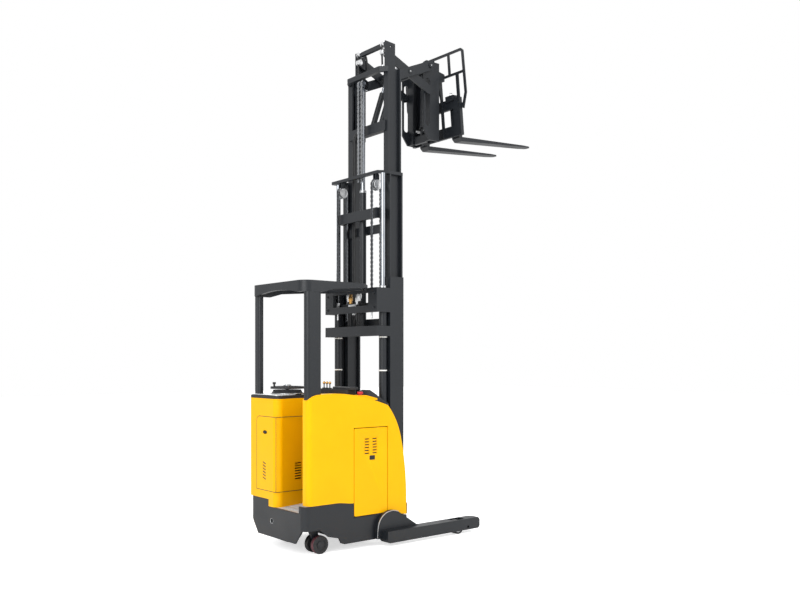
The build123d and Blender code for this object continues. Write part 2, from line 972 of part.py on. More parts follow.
# Straddle legs: a rounded wing plate on the body and a box beam slotted for its wheel
for name, hand in (("leg_right", -1), ("leg_left", 1)):
    with BuildPart() as leg:
        outer = hand * leg_outer_y if hand > 0 else -leg_inner_y
        bar(
            side_plane(outer),
            (leg_rear, leg_bottom),
            (leg_tip, leg_top),
            leg_outer_y - leg_inner_y,
        )
        # Tip: cut back at the inner corner in plan, and bevelled above and below
        inner_corner = leg.edges().filter_by(Axis.Z).group_by(Axis.X)[-1].sort_by(Axis.Y)
        chamfer(inner_corner[0 if hand > 0 else -1], leg_nose)
        chamfer(leg.edges().group_by(Axis.X)[-1].sort_by(Axis.Z)[-1], 20)
        chamfer(leg.edges().group_by(Axis.X)[-1].sort_by(Axis.Z)[0], 18)
        fillet(leg.edges().filter_by(Axis.Y).group_by(Axis.X)[0].sort_by(Axis.Z)[0], 30)
        wing = hand * wing_outer_y if hand > 0 else -body_half_width
        with BuildSketch(side_plane(wing)) as plate:
            with BuildLine():
                Line((wing_rear, wing_bottom), (wing_rear, 150))
                ThreePointArc(
                    (wing_rear, 150),
                    (wing_rear + 53, 250),
                    (wing_rear + 134, 285),
                )
                ThreePointArc(
                    (wing_rear + 134, 285),
                    (wing_rear + 180, 288),
                    (wing_rear + 225, 273),
                )
                Polyline(
                    (wing_rear + 225, 273),
                    (wing_front, leg_top),
                    (wing_front, wing_bottom),
                    (wing_rear, wing_bottom),
                )
            make_face()
        extrude(plate.sketch, amount=wing_outer_y - body_half_width)
        # Slot for the load wheel, open above and below
        slot_half = load_wheel_radius + 10
        bar(
            plan_plane(leg_bottom - 1),
            (
                load_wheel_x - slot_half,
                min(hand * (leg_inner_y + leg_wall), hand * (leg_outer_y - leg_wall)),
            ),
            (
                load_wheel_x + slot_half,
                max(hand * (leg_inner_y + leg_wall), hand * (leg_outer_y - leg_wall)),
            ),
            leg_top - leg_bottom + 2,
            Mode.SUBTRACT,
        )
        disc(
            side_plane(outer),
            (load_wheel_x, load_wheel_radius),
            9.5,
            leg_outer_y - leg_inner_y,
        )
        disc(
            side_plane(outer),
            (leg_hole_x, leg_hole_z),
            leg_hole_radius,
            leg_outer_y - leg_inner_y,
            Mode.SUBTRACT,
        )
    save(leg.part, name)

    with BuildPart() as wheel:
        middle = hand * (leg_inner_y + leg_outer_y) / 2
        disc(
            side_plane(middle + load_wheel_width / 2),
            (load_wheel_x, load_wheel_radius),
            load_wheel_radius,
            load_wheel_width,
        )
        chamfer(wheel.edges().filter_by(GeomType.CIRCLE), 5)
        disc(
            side_plane(middle + load_wheel_width / 2 + 1),
            (load_wheel_x, load_wheel_radius),
            10,
            load_wheel_width + 2,
            Mode.SUBTRACT,
        )
    save(wheel.part, name.replace("leg", "load_wheel"))

# Steered drive unit: turntable, motor on top, gear leg beside the wheel
with BuildPart() as drive_unit:
    disc(plan_plane(steer_plate_height), (drive_x, drive_y), 130, 18)
    disc(plan_plane(steer_plate_height + 18), (drive_x, drive_y), motor_radius, motor_height)
    fillet(drive_unit.edges().filter_by(GeomType.CIRCLE).group_by(Axis.Z)[-1], 18)
    with BuildSketch(side_plane(drive_y + drive_wheel_width / 2 + 50)) as gear_leg:
        with BuildLine():
            Polyline(
                (drive_x - 80, steer_plate_height),
                (drive_x + 80, steer_plate_height),
                (drive_x + 62, drive_wheel_radius),
            )
            ThreePointArc(
                (drive_x + 62, drive_wheel_radius),
                (drive_x, drive_wheel_radius - 62),
                (drive_x - 62, drive_wheel_radius),
            )
            Line((drive_x - 62, drive_wheel_radius), (drive_x - 80, steer_plate_height))
        make_face()
    extrude(gear_leg.sketch, amount=44)
    disc(
        side_plane(drive_y + drive_wheel_width / 2 + 6),
        (drive_x, drive_wheel_radius),
        24.5,
        drive_wheel_width,
    )
save(drive_unit.part, "drive_unit")

with BuildPart() as drive_wheel:
    disc(
        side_plane(drive_y + drive_wheel_width / 2),
        (drive_x, drive_wheel_radius),
        drive_wheel_radius,
        drive_wheel_width,
    )
    chamfer(drive_wheel.edges().filter_by(GeomType.CIRCLE), 8)
    disc(
        side_plane(drive_y + drive_wheel_width / 2 + 1),
        (drive_x, drive_wheel_radius),
        25,
        drive_wheel_width + 2,
        Mode.SUBTRACT,
    )
save(drive_wheel.part, "drive_wheel")

# Plate that carries the turntable and the caster
with BuildPart() as wheel_plate:
    bar(
        plan_plane(steer_plate_height + 18.5),
        (skin + 2, 20),
        (bay_front, bay_edge_y),
        14,
    )
    disc(
        plan_plane(steer_plate_height + 17),
        (drive_x, drive_y),
        motor_radius + 1,
        20,
        Mode.SUBTRACT,
    )
    fillet(
        wheel_plate.edges().filter_by(Axis.Z).group_by(Axis.X)[0].sort_by(Axis.Y)[-1],
        corner_radius - skin,
    )
    bar(
        plan_plane(caster_plate_height + 1),
        (60, -bay_edge_y),
        (bay_front, 20),
        14,
    )
    bar(
        side_plane(34),
        (60, caster_plate_height + 1),
        (bay_front - 2, steer_plate_height + 32.5),
        14,
    )
save(wheel_plate.part, "wheel_plate")

# Twin caster: a swivelling yoke between two wheels on one axle
with BuildPart() as caster_yoke:
    disc(plan_plane(caster_plate_height - 14), (caster_x, caster_y), 52, 14)
    prism(
        side_plane(caster_y + 14),
        [
            (caster_x - 40, caster_plate_height - 14),
            (caster_x + 40, caster_plate_height - 14),
            (caster_x + caster_trail + 22, caster_radius),
            (caster_x + caster_trail, caster_radius - 24),
            (caster_x + caster_trail - 24, caster_radius),
        ],
        28,
    )
    disc(
        side_plane(caster_y + 15),
        (caster_x + caster_trail, caster_radius),
        12.3,
        30,
        Mode.SUBTRACT,
    )
save(caster_yoke.part, "caster_yoke")

with BuildPart() as caster_wheels:
    for hand in (-1, 1):
        centre = caster_y + hand * (caster_gap / 2 + caster_wheel_width / 2)
        disc(
            side_plane(centre + caster_wheel_width / 2),
            (caster_x + caster_trail, caster_radius),
            caster_radius,
            caster_wheel_width,
        )
    chamfer(caster_wheels.edges().filter_by(GeomType.CIRCLE), 6)
    disc(
        side_plane(caster_y + caster_gap / 2 + 2),
        (caster_x + caster_trail, caster_radius),
        12,
        caster_gap + 4,
    )
save(caster_wheels.part, "caster_wheels")

# Side lift cylinders: bored barrels on the outer mast's feet, rods under the middle stage
with BuildPart() as lift_barrels:
    for hand in (-1, 1):
        place = (cylinder_x, hand * cylinder_y)
        disc(plan_plane(mast_foot + 30), place, cylinder_radius, cylinder_top - mast_foot - 30)
    chamfer(lift_barrels.edges().filter_by(GeomType.CIRCLE).group_by(Axis.Z)[-1], 6)
    for hand in (-1, 1):
        place = (cylinder_x, hand * cylinder_y)
        disc(
            plan_plane(mast_foot + 60),
            place,
            cylinder_bore,
            cylinder_top - mast_foot,
            Mode.SUBTRACT,
        )
save(lift_barrels.part, "lift_barrels")

with BuildPart() as lift_rods:
    for hand in (-1, 1):
        place = (cylinder_x, hand * cylinder_y)
        disc(plan_plane(rod_foot), place, rod_radius, middle_plate_bottom - rod_foot)
save(lift_rods.part, "lift_rods")


def middle_cross(low, high):
    """A cross member of the middle stage, with cheeks forward to its uprights."""
    reach = stage_flange_inner["middle"] + 14
    bar(rear_plane(middle_cross_x), (-reach, low), (reach, high), middle_cross_thickness)
    for plane in both_sides(reach, cross_plate):
        bar(plane, (middle_cross_x, low), (stage_rear["middle"] + 8, high), cross_plate)


# Middle stage: two beams, a top plate over the rods and forks for the chain wheels
middle_wing_inner = 302
middle_wing_outer = 347
with BuildPart() as mast_middle:
    for hand in (-1, 1):
        upright(middle_foot, "middle", hand, middle_plate_bottom - middle_foot)
    front = stage_rear["middle"] + stage_depth["middle"]
    prism(
        plan_plane(middle_plate_bottom),
        [
            (middle_cross_x, 386),
            (middle_cross_x, -294),
            (mast_rear + 11, -middle_wing_outer),
            (front, -middle_wing_outer),
            (front, -middle_wing_inner),
            (mast_rear + 11, -middle_wing_inner),
            (mast_rear - 48, -285),
            (mast_rear - 48, 285),
            (mast_rear + 11, middle_wing_inner),
            (front, middle_wing_inner),
            (front, middle_wing_outer),
            (mast_rear + 11, 386),
        ],
        middle_plate,
    )
    middle_cross(middle_foot, middle_foot + 100)
    middle_cross(middle_foot + 1054, middle_foot + 1134)
    middle_cross(middle_plate_bottom - 385, middle_plate_bottom - 295)
    for hand in (-1, 1):
        for side in (-1, 1):
            cheek_y = hand * chain_wheel_y + side * (chain_wheel_width / 2 + 4)
            bar(
                side_plane(cheek_y + 3),
                (chain_wheel_x - 20, chain_wheel_z - 26),
                (chain_wheel_x + 20, middle_plate_bottom),
                6,
            )
save(mast_middle.part, "mast_middle")


def chain_wheel(x, y, z, radius, width):
    """A grooved chain wheel about a level axle."""
    disc(side_plane(y + width / 2), (x, z), radius - 7, width)
    disc(side_plane(y + width / 2), (x, z), radius, 4)
    disc(side_plane(y - width / 2 + 4), (x, z), radius, 4)


# Chain wheels of the middle stage with their two falls of leaf chain
with BuildPart() as middle_chain_wheels:
    for hand in (-1, 1):
        chain_wheel(
            chain_wheel_x,
            hand * chain_wheel_y,
            chain_wheel_z,
            chain_wheel_radius + chain_wheel_rim,
            chain_wheel_width,
        )
save(middle_chain_wheels.part, "middle_chain_wheels")

groove_radius = chain_wheel_radius - 3
groove_width = chain_wheel_width - 8
with BuildPart() as middle_chains:
    for hand in (-1, 1):
        with BuildSketch(side_plane(hand * chain_wheel_y + groove_width / 2)) as fall:
            with Locations((chain_wheel_x, chain_wheel_z)):
                Circle(groove_radius + chain_thickness)
                Circle(groove_radius + 0.2, mode=Mode.SUBTRACT)
                with Locations((0, -groove_radius)):
                    Rectangle(
                        4 * groove_radius,
                        2 * groove_radius,
                        mode=Mode.SUBTRACT,
                    )
            for side, length in ((-1, rear_chain_length), (1, front_chain_length)):
                with Locations(
                    (
                        chain_wheel_x + side * (groove_radius + 0.2 + chain_thickness / 2 - 0.1),
                        chain_wheel_z - length / 2,
                    )
                ):
                    Rectangle(chain_thickness - 0.2, length)
        extrude(fall.sketch, amount=groove_width)
save(middle_chains.part, "middle_chains")


def inner_cross(low, high):
    """A flat cross member welded behind the inner stage's uprights."""
    half = stage_flange_inner["middle"] - 6
    bar(
        rear_plane(stage_rear["inner"] - inner_cross_thickness),
        (-half, low),
        (half, high),
        inner_cross_thickness,
    )


# Inner stage: two beams joined by flat members and a bowed top bar
bow_rear = mast_rear - 9
bow_depth = 34
inner_waist = inner_foot + 868
with BuildPart() as mast_inner:
    for hand in (-1, 1):
        upright(inner_foot, "inner", hand, inner_top - inner_foot)
    with BuildSketch(plan_plane(inner_top - inner_bow_height)) as bow:
        half = stage_flange_outer["inner"]
        with BuildLine():
            Polyline(
                (stage_rear["inner"] + 8, -half),
                (bow_rear + 60, -half),
                (bow_rear, -half + 60),
                (bow_rear, half - 60),
                (bow_rear + 60, half),
                (stage_rear["inner"] + 8, half),
                (stage_rear["inner"] + 8, half - 34),
                (bow_rear + 74, half - 34),
                (bow_rear + bow_depth, half - 74),
                (bow_rear + bow_depth, -half + 74),
                (bow_rear + 74, -half + 34),
                (stage_rear["inner"] + 8, -half + 34),
                close=True,
            )
        make_face()
    extrude(bow.sketch, amount=inner_bow_height)
    fillet(mast_inner.edges().filter_by(Axis.Z).group_by(Axis.X)[0], 30)
    inner_cross(inner_foot, inner_foot + 110)
    inner_cross(inner_waist, inner_waist + 80)
    inner_cross(inner_top - 560, inner_top - 470)
save(mast_inner.part, "mast_inner")

# Free lift cylinder: barrel on the inner stage, rod with its crosshead and chain wheels
with BuildPart() as free_barrel:
    disc(
        plan_plane(inner_foot + 20),
        (free_x, 0),
        free_barrel_radius,
        free_barrel_top - inner_foot - 20,
    )
    chamfer(free_barrel.edges().filter_by(GeomType.CIRCLE).group_by(Axis.Z)[-1], 6)
    for height in (inner_foot + 40, inner_waist + 5):
        bar(
            plan_plane(height),
            (free_x, -30),
            (stage_rear["inner"] - inner_cross_thickness, 30),
            60,
        )
    disc(
        plan_plane(inner_foot + 60),
        (free_x, 0),
        free_bore,
        free_barrel_top - inner_foot,
        Mode.SUBTRACT,
    )
save(free_barrel.part, "free_barrel")

free_wheel_z = crosshead_z + free_wheel_radius + 7
with BuildPart() as free_rod:
    disc(plan_plane(free_rod_foot), (free_x, 0), free_rod_radius, crosshead_z - free_rod_foot)
    # Yoke: a base plate with three cheeks, and the axle through them
    cheek_y = free_wheel_y + free_wheel_width / 2 + 2
    bar(
        plan_plane(crosshead_z - 14),
        (free_x - 22, -cheek_y - crosshead_cheek),
        (free_x + 22, cheek_y + crosshead_cheek),
        14,
    )
    for low_y in (-cheek_y - crosshead_cheek, -crosshead_cheek / 2, cheek_y):
        bar(
            side_plane(low_y + crosshead_cheek),
            (free_x - 20, crosshead_z - 1),
            (free_x + 20, crosshead_z + crosshead_height),
            crosshead_cheek,
        )
    for hand in (-1, 1):
        chain_wheel(
            free_wheel_x,
            hand * free_wheel_y,
            free_wheel_z,
            free_wheel_radius,
            free_wheel_width,
        )
    disc(
        side_plane(cheek_y + crosshead_cheek + 5),
        (free_wheel_x, free_wheel_z),
        11,
        2 * (cheek_y + crosshead_cheek + 5),
    )
save(free_rod.part, "free_rod")

# Leaf chains of the free lift: over their wheels and down behind the rod
free_chain_thickness = 6.8
with BuildPart() as free_chains:
    for hand in (-1, 1):
        chain_side = hand * free_wheel_y + free_chain_width / 2
        bar(
            side_plane(chain_side),
            (free_wheel_x - free_wheel_radius, free_wheel_z - free_chain_length),
            (free_wheel_x - free_wheel_radius + free_chain_thickness, free_wheel_z),
            free_chain_width,
        )
        with BuildSketch(side_plane(chain_side)) as wrap:
            with Locations((free_wheel_x, free_wheel_z)):
                Circle(free_wheel_radius)
                Circle(free_wheel_radius - free_chain_thickness, mode=Mode.SUBTRACT)
                with Locations((0, -free_wheel_radius)):
                    Rectangle(
                        4 * free_wheel_radius,
                        2 * free_wheel_radius,
                        mode=Mode.SUBTRACT,
                    )
        extrude(wrap.sketch, amount=free_chain_width)
save(free_chains.part, "free_chains")

reach_stub_along = 220
reach_base_x = reach_pivot_x + 7
reach_base_z = 3660
reach_barrel_length = 380
reach_barrel_radius = 26
reach_stub_x = reach_pivot_x + reach_stub_along * cos_reach
reach_stub_z = reach_pivot_z - reach_stub_along * sin_reach
reach_lean = atan2(reach_stub_x - reach_base_x, reach_stub_z - reach_base_z)
reach_length = hypot(reach_stub_x - reach_base_x, reach_stub_z - reach_base_z)
reach_cylinder_y = 62

# Lift carriage: two tall side plates slotted for the scissor's rollers
slot_top = reach_pivot_z - 2 * reach_half_arm * sin(radians(reach_angle_out)) + 34
slot_bottom = reach_pivot_z - 2 * reach_half_arm * sin(radians(reach_angle_in)) - 34
slot_width = 2 * (track_roller_radius + track_gap)
with BuildPart() as lift_carriage:
    for hand, plane in ((1, side_plane(carriage_plate_y + carriage_plate)),
                        (-1, side_plane(-carriage_plate_y))):
        with BuildSketch(plane) as side:
            with BuildLine():
                Polyline(
                    (carriage_rear, carriage_bottom),
                    (carriage_rear, carriage_top),
                    (carriage_front, carriage_top - 8),
                    (carriage_front, carriage_bottom),
                    close=True,
                )
            make_face()
            with Locations((reach_pivot_x + 6, reach_pivot_z + 56)):
                Circle(10, mode=Mode.SUBTRACT)
        extrude(side.sketch, amount=carriage_plate)
        track_plane = side_plane(
            carriage_plate_y + track_depth if hand > 0 else -carriage_plate_y + 1
        )
        with BuildSketch(track_plane) as track:
            with Locations((reach_pivot_x, (slot_top + slot_bottom) / 2)):
                SlotOverall(slot_top - slot_bottom, slot_width, rotation=90)
        extrude(track.sketch, amount=track_depth + 1, mode=Mode.SUBTRACT)
    for low, high in ((carriage_bottom, carriage_bottom + 90), (4364, 4400)):
        bar(
            rear_plane(carriage_rear),
            (-carriage_plate_y, low),
            (carriage_plate_y, high),
            30,
        )
    # Pivot pins of the inner arms, and the pin that the reach cylinders stand on
    for hand in (-1, 1):
        disc(
            side_plane(carriage_plate_y + carriage_plate if hand > 0 else -164),
            (reach_pivot_x, reach_pivot_z),
            pin_radius,
            60,
        )
    disc(
        side_plane(carriage_plate_y),
        (reach_base_x, reach_base_z),
        12,
        2 * carriage_plate_y,
    )
    # Guide rollers that run inside the inner stage's uprights
    for hand in (-1, 1):
        for height in (carriage_bottom + 60, reach_pivot_z - 254):
            outer = carriage_plate_y + carriage_plate
            disc(
                side_plane(outer + 26 if hand > 0 else -outer),
                (guide_roller_x, height),
                guide_roller_radius,
                26,
            )
save(lift_carriage.part, "lift_carriage")

# Reach cylinders between the carriage and the inner arms
def reach_cylinder_plane(along):
    """A plane square to the reach cylinder, at a distance from its base pin."""
    return Plane(
        origin=(
            rear + reach_base_x + along * sin(reach_lean),
            0,
            reach_base_z + along * cos(reach_lean),
        ),
        x_dir=(0, 1, 0),
        z_dir=(sin(reach_lean), 0, cos(reach_lean)),
    )


with BuildPart() as reach_barrels:
    for hand in (-1, 1):
        disc(
            side_plane(hand * reach_cylinder_y + 16),
            (reach_base_x, reach_base_z),
            24,
            32,
        )
        disc(
            reach_cylinder_plane(22),
            (hand * reach_cylinder_y, 0),
            reach_barrel_radius,
            reach_barrel_length,
        )
    for hand in (-1, 1):
        disc(
            reach_cylinder_plane(60),
            (hand * reach_cylinder_y, 0),
            17,
            reach_barrel_length,
            Mode.SUBTRACT,
        )
        disc(
            side_plane(hand * reach_cylinder_y + 17),
            (reach_base_x, reach_base_z),
            12 + pin_fit,
            34,
            Mode.SUBTRACT,
        )
save(reach_barrels.part, "reach_barrels")

with BuildPart() as reach_rods:
    for hand in (-1, 1):
        disc(
            reach_cylinder_plane(reach_length - 310),
            (hand * reach_cylinder_y, 0),
            15,
            282,
        )
        disc(
            side_plane(hand * reach_cylinder_y + 14),
            (reach_stub_x, reach_stub_z),
            30,
            28,
        )
        disc(
            side_plane(hand * reach_cylinder_y + 15),
            (reach_stub_x, reach_stub_z),
            17,
            30,
            Mode.SUBTRACT,
        )
save(reach_rods.part, "reach_rods")

# Inner arms: top rear pin to the roller in the reach frame, with stubs for the cylinders
with BuildPart() as inner_arms:
    for plane in (side_plane(inner_arm_y + arm_thickness), side_plane(-inner_arm_y)):
        link(
            plane,
            (reach_pivot_x, reach_pivot_z),
            (front_pin_x, low_pin_z),
            arm_width,
            arm_thickness,
        )
    tie_along = 330
    disc(
        side_plane(inner_arm_y),
        (reach_pivot_x + tie_along * cos_reach, reach_pivot_z - tie_along * sin_reach),
        16,
        2 * inner_arm_y,
    )
    stub_end = reach_cylinder_y + 20
    for plane in (side_plane(inner_arm_y), side_plane(-stub_end)):
        disc(plane, (reach_stub_x, reach_stub_z), 20, inner_arm_y - stub_end)
    for plane in (side_plane(inner_arm_y + 0.1), side_plane(-inner_arm_y + 20)):
        disc(plane, (front_pin_x, low_pin_z), track_roller_radius, 19.9)
    for plane in (side_plane(inner_arm_y + arm_thickness + 1), side_plane(-inner_arm_y + 1)):
        for place in ((reach_pivot_x, reach_pivot_z), (cross_pin_x, cross_pin_z)):
            disc(plane, place, pin_radius + pin_fit, arm_thickness + 2, Mode.SUBTRACT)
save(inner_arms.part, "inner_arms")

# Outer arms: front pin on the reach frame to the roller in the carriage, with cross pins
with BuildPart() as outer_arms:
    for hand, plane in (
        (1, side_plane(outer_arm_y + arm_thickness)),
        (-1, side_plane(-outer_arm_y)),
    ):
        link(
            plane,
            (reach_pivot_x, low_pin_z),
            (front_pin_x, reach_pivot_z),
            arm_width,
            arm_thickness,
        )
    for plane in (
        side_plane(carriage_plate_y + track_depth - 2),
        side_plane(-outer_arm_y - arm_thickness),
    ):
        roller_width = carriage_plate_y + track_depth - 2 - outer_arm_y - arm_thickness
        disc(plane, (reach_pivot_x, low_pin_z), track_roller_radius, roller_width)
    for plane in (side_plane(outer_arm_y + 1), side_plane(-inner_arm_y + 3)):
        disc(plane, (cross_pin_x, cross_pin_z), pin_radius, 24)
    for plane in (side_plane(outer_arm_y + arm_thickness + 1), side_plane(-outer_arm_y + 1)):
        disc(
            plane,
            (front_pin_x, reach_pivot_z),
            pin_radius + pin_fit,
            arm_thickness + 2,
            Mode.SUBTRACT,
        )
save(outer_arms.part, "outer_arms")

# Reach frame: two channel posts slotted for the inner arms' rollers
with BuildPart() as reach_frame:
    for hand in (-1, 1):
        web = frame_plate_y + frame_plate if hand > 0 else -frame_plate_y
        with BuildSketch(side_plane(web)) as side:
            with BuildLine():
                Polyline(
                    (front_pin_x - frame_lip_rear, slot_bottom - 40),
                    (front_pin_x - frame_lip_rear, frame_top - 20),
                    (front_pin_x - frame_lip_rear + 30, frame_top),
                    (post_front_x, frame_top),
                    (post_front_x, tilt_pivot_z + 46),
                    (tilt_x + 34, tilt_pivot_z + 34),
                    (tilt_x + 34, tilt_pivot_z - 34),
                    (post_front_x, tilt_pivot_z - 60),
                    (post_front_x, frame_bottom),
                    (front_pin_x + 20, frame_bottom),
                    close=True,
                )
            make_face()
            with Locations((front_pin_x, (slot_top + slot_bottom) / 2)):
                SlotOverall(
                    slot_top - slot_bottom,
                    slot_width,
                    rotation=90,
                    mode=Mode.SUBTRACT,
                )
        extrude(side.sketch, amount=frame_plate)
        inner = (min(hand * frame_post_inner_y, hand * (frame_plate_y + 2)),
                 max(hand * frame_post_inner_y, hand * (frame_plate_y + 2)))
        for low_x in (front_pin_x + frame_post_rear + 1, post_front_x - 14):
            bar(
                rear_plane(low_x),
                (inner[0], frame_bottom),
                (inner[1], frame_top),
                14,
            )
        pin_from = outer_arm_y + arm_thickness + 6 if hand > 0 else -frame_plate_y - 1
        disc(side_plane(pin_from), (front_pin_x, reach_pivot_z), pin_radius, 63)
        disc(
            side_plane(frame_plate_y + 1 if hand > 0 else -hanger_y + 6),
            (tilt_x, tilt_pivot_z),
            pin_radius,
            41,
        )
    for low, high in ((frame_bottom, frame_bottom + 70), (frame_top - 80, frame_top)):
        bar(
            rear_plane(front_pin_x + frame_post_rear + 15),
            (-frame_post_inner_y - 1, low),
            (frame_post_inner_y + 1, high),
            30,
        )
    bar(
        plan_plane(tilt_lug_z),
        (front_pin_x + frame_post_rear + 44, -24),
        (front_pin_x + frame_post_rear + 84, 24),
        20,
    )
save(reach_frame.part, "reach_frame")

# Tilt cylinder standing in the reach frame, with its lever at the foot
with BuildPart() as tilt_cylinder:
    centre = (front_pin_x + frame_post_rear + 60, 0)
    disc(plan_plane(tilt_barrel_foot), centre, 32, tilt_barrel_length)
    barrel_top = tilt_barrel_foot + tilt_barrel_length
    disc(plan_plane(barrel_top), centre, 14, tilt_lug_z - barrel_top)
    disc(plan_plane(tilt_lever_z), centre, 17, tilt_barrel_foot - tilt_lever_z)
    bar(
        side_plane(14),
        (front_pin_x + frame_post_rear + 30, tilt_lever_z),
        (tilt_x - 12, tilt_lever_z + 42),
        28,
    )
save(tilt_cylinder.part, "tilt_cylinder")

# Fork carriage: two bars on hanger plates, tilted about the pin
bar_low = (-568, -468)
bar_high = (-312, -218)
with BuildPart() as fork_carriage:
    for low, high in (bar_low, bar_high):
        bar(
            tilted_face_plane(bar_rear),
            (-carriage_half_width, low),
            (carriage_half_width, high),
            bar_thickness,
        )
    for hand in (-1, 1):
        bar(
            tilted_face_plane(bar_rear),
            (min(hand * 262, hand * carriage_half_width), bar_low[1] - 5),
            (max(hand * 262, hand * carriage_half_width), bar_high[0] + 5),
            bar_thickness,
        )
        with BuildSketch(
            tilted_plane(hanger_y + hanger_plate if hand > 0 else -hanger_y)
        ) as hanger:
            with BuildLine():
                Polyline(
                    (-25, -20),
                    (-25, 20),
                    (-12, 32),
                    (28, 32),
                    (bar_rear + 6, -200),
                    (bar_rear + 6, bar_low[0] + 10),
                    (bar_rear - 20, bar_low[0] + 10),
                    (bar_rear - 20, -200),
                    close=True,
                )
            make_face()
            Circle(pin_radius + pin_fit, mode=Mode.SUBTRACT)
        extrude(hanger.sketch, amount=hanger_plate)
save(fork_carriage.part, "fork_carriage")

# Load backrest: a bent flat-bar frame with its uprights
with BuildPart() as backrest:
    with BuildSketch(tilted_face_plane(bar_rear + bar_thickness - backrest_bar)) as rails:
        with BuildLine():
            Polyline(
                (-378, -330),
                (-backrest_half_width, -190),
                (-backrest_half_width + 10, 196),
                (-backrest_half_width + 40, backrest_height),
                (backrest_half_width - 40, backrest_height),
                (backrest_half_width - 10, 196),
                (backrest_half_width, -190),
                (378, -330),
                (354, -316),
                (backrest_half_width - 26, -186),
                (backrest_half_width - 36, 190),
                (backrest_half_width - 50, backrest_height - 24),
                (-backrest_half_width + 50, backrest_height - 24),
                (-backrest_half_width + 36, 190),
                (-backrest_half_width + 26, -186),
                (-354, -316),
                close=True,
            )
        make_face()
        with Locations((0, 8)):
            Rectangle(2 * backrest_half_width - 50, 22)
        for place in (-215, 0, 215):
            with Locations((place, 110)):
                Rectangle(26, 200)
        for hand in (-1, 1):
            with Locations((hand * 315, (bar_high[1] + 8) / 2)):
                Rectangle(34, 8 - bar_high[1])
            with Locations((hand * (carriage_half_width + 14), -290)):
                Rectangle(28, 34)
    extrude(rails.sketch, amount=backrest_bar)
save(backrest.part, "backrest")

# Forks: forged shank, rounded heel and tapered blade, with a hook over the upper bar
for name, hand in (("fork_right", -1), ("fork_left", 1)):
    middle = hand * fork_y
    with BuildPart() as fork:
        with BuildSketch(tilted_plane(middle + fork_width / 2)) as profile:
            with BuildLine():
                Polyline(
                    (shank_rear, -fork_heel_drop + 30),
                    (shank_rear, bar_high[1] + 1),
                    (bar_rear - 1, bar_high[1] + 1),
                    (bar_rear - 1, bar_high[1] - 22),
                    (bar_rear - 16, bar_high[1] - 22),
                    (bar_rear - 16, bar_high[1] + 30),
                    (shank_rear + fork_thickness - 14, bar_high[1] + 30),
                    (shank_rear + fork_thickness, bar_high[1] + 14),
                    (shank_rear + fork_thickness, -fork_heel_drop + fork_thickness),
                    (fork_tip, -fork_heel_drop + fork_tip_thickness),
                    (fork_tip, -fork_heel_drop),
                    (shank_rear + 30, -fork_heel_drop),
                    close=True,
                )
            make_face()
        extrude(profile.sketch, amount=fork_width)
        # Point in plan: both sides drawn in over the last stretch of the blade
        for side in (-1, 1):
            prism(
                tilted_blade_plane(middle),
                [
                    (fork_tip - fork_point_length, side * (fork_width / 2 + 1)),
                    (fork_tip - fork_point_length, side * fork_width / 2),
                    (fork_tip - 20, side * (fork_tip_half_width + 6)),
                    (fork_tip + 1, side * (fork_tip_half_width - 8)),
                    (fork_tip + 1, side * (fork_width / 2 + 1)),
                ],
                fork_thickness + 20,
                Mode.SUBTRACT,
            )
    save(fork.part, name)
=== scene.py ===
import math

import bmesh
import bpy
from mathutils import Matrix, Vector


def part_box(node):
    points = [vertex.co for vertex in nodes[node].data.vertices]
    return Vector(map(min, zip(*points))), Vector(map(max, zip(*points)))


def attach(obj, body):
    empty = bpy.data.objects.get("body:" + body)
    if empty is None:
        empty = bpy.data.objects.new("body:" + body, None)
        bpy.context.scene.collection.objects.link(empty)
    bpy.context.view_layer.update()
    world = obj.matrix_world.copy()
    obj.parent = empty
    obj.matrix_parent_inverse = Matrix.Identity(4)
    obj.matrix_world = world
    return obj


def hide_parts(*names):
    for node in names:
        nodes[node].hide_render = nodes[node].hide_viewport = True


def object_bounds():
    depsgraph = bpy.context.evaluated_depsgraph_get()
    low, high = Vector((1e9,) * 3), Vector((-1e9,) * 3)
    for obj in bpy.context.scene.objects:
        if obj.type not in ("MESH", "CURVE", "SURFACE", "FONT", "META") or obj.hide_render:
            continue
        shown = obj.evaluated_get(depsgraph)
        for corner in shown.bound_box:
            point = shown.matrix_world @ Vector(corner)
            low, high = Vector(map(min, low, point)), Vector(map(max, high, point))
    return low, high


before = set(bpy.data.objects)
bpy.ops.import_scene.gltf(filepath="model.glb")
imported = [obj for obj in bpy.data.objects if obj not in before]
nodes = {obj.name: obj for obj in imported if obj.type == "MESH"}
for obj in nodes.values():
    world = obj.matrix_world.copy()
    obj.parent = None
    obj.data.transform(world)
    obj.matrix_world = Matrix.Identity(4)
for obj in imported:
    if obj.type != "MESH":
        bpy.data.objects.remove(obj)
cad_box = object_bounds()
bpy.ops.object.select_all(action="DESELECT")

# The studio: a pale seamless floor, soft lamps overhead and a camera that stands behind
# the truck's right rear corner, level, with its shift taking in the raised mast.
rear = cad_box[0][0]
camera_behind = 3.741
camera_aside = 6.102
camera_height = 1.593
camera_turn = 39.8
lens = 38.3
horizon_shift = 0.0725


def linear(code):
    """An sRGB hex colour as linear red, green, blue and alpha."""
    parts = [int(code[place : place + 2], 16) / 255 for place in (0, 2, 4)]
    return [
        part / 12.92 if part <= 0.04045 else ((part + 0.055) / 1.055) ** 2.4 for part in parts
    ] + [1]


def add_node(tree, kind, settings=None, inputs=None):
    """A shader node with its settings and its input values or links."""
    node = tree.nodes.new(kind)
    for name, value in (settings or {}).items():
        setattr(node, name, value)
    for name, value in (inputs or {}).items():
        if isinstance(value, bpy.types.NodeSocket):
            tree.links.new(value, node.inputs[name])
        else:
            node.inputs[name].default_value = value
    return node


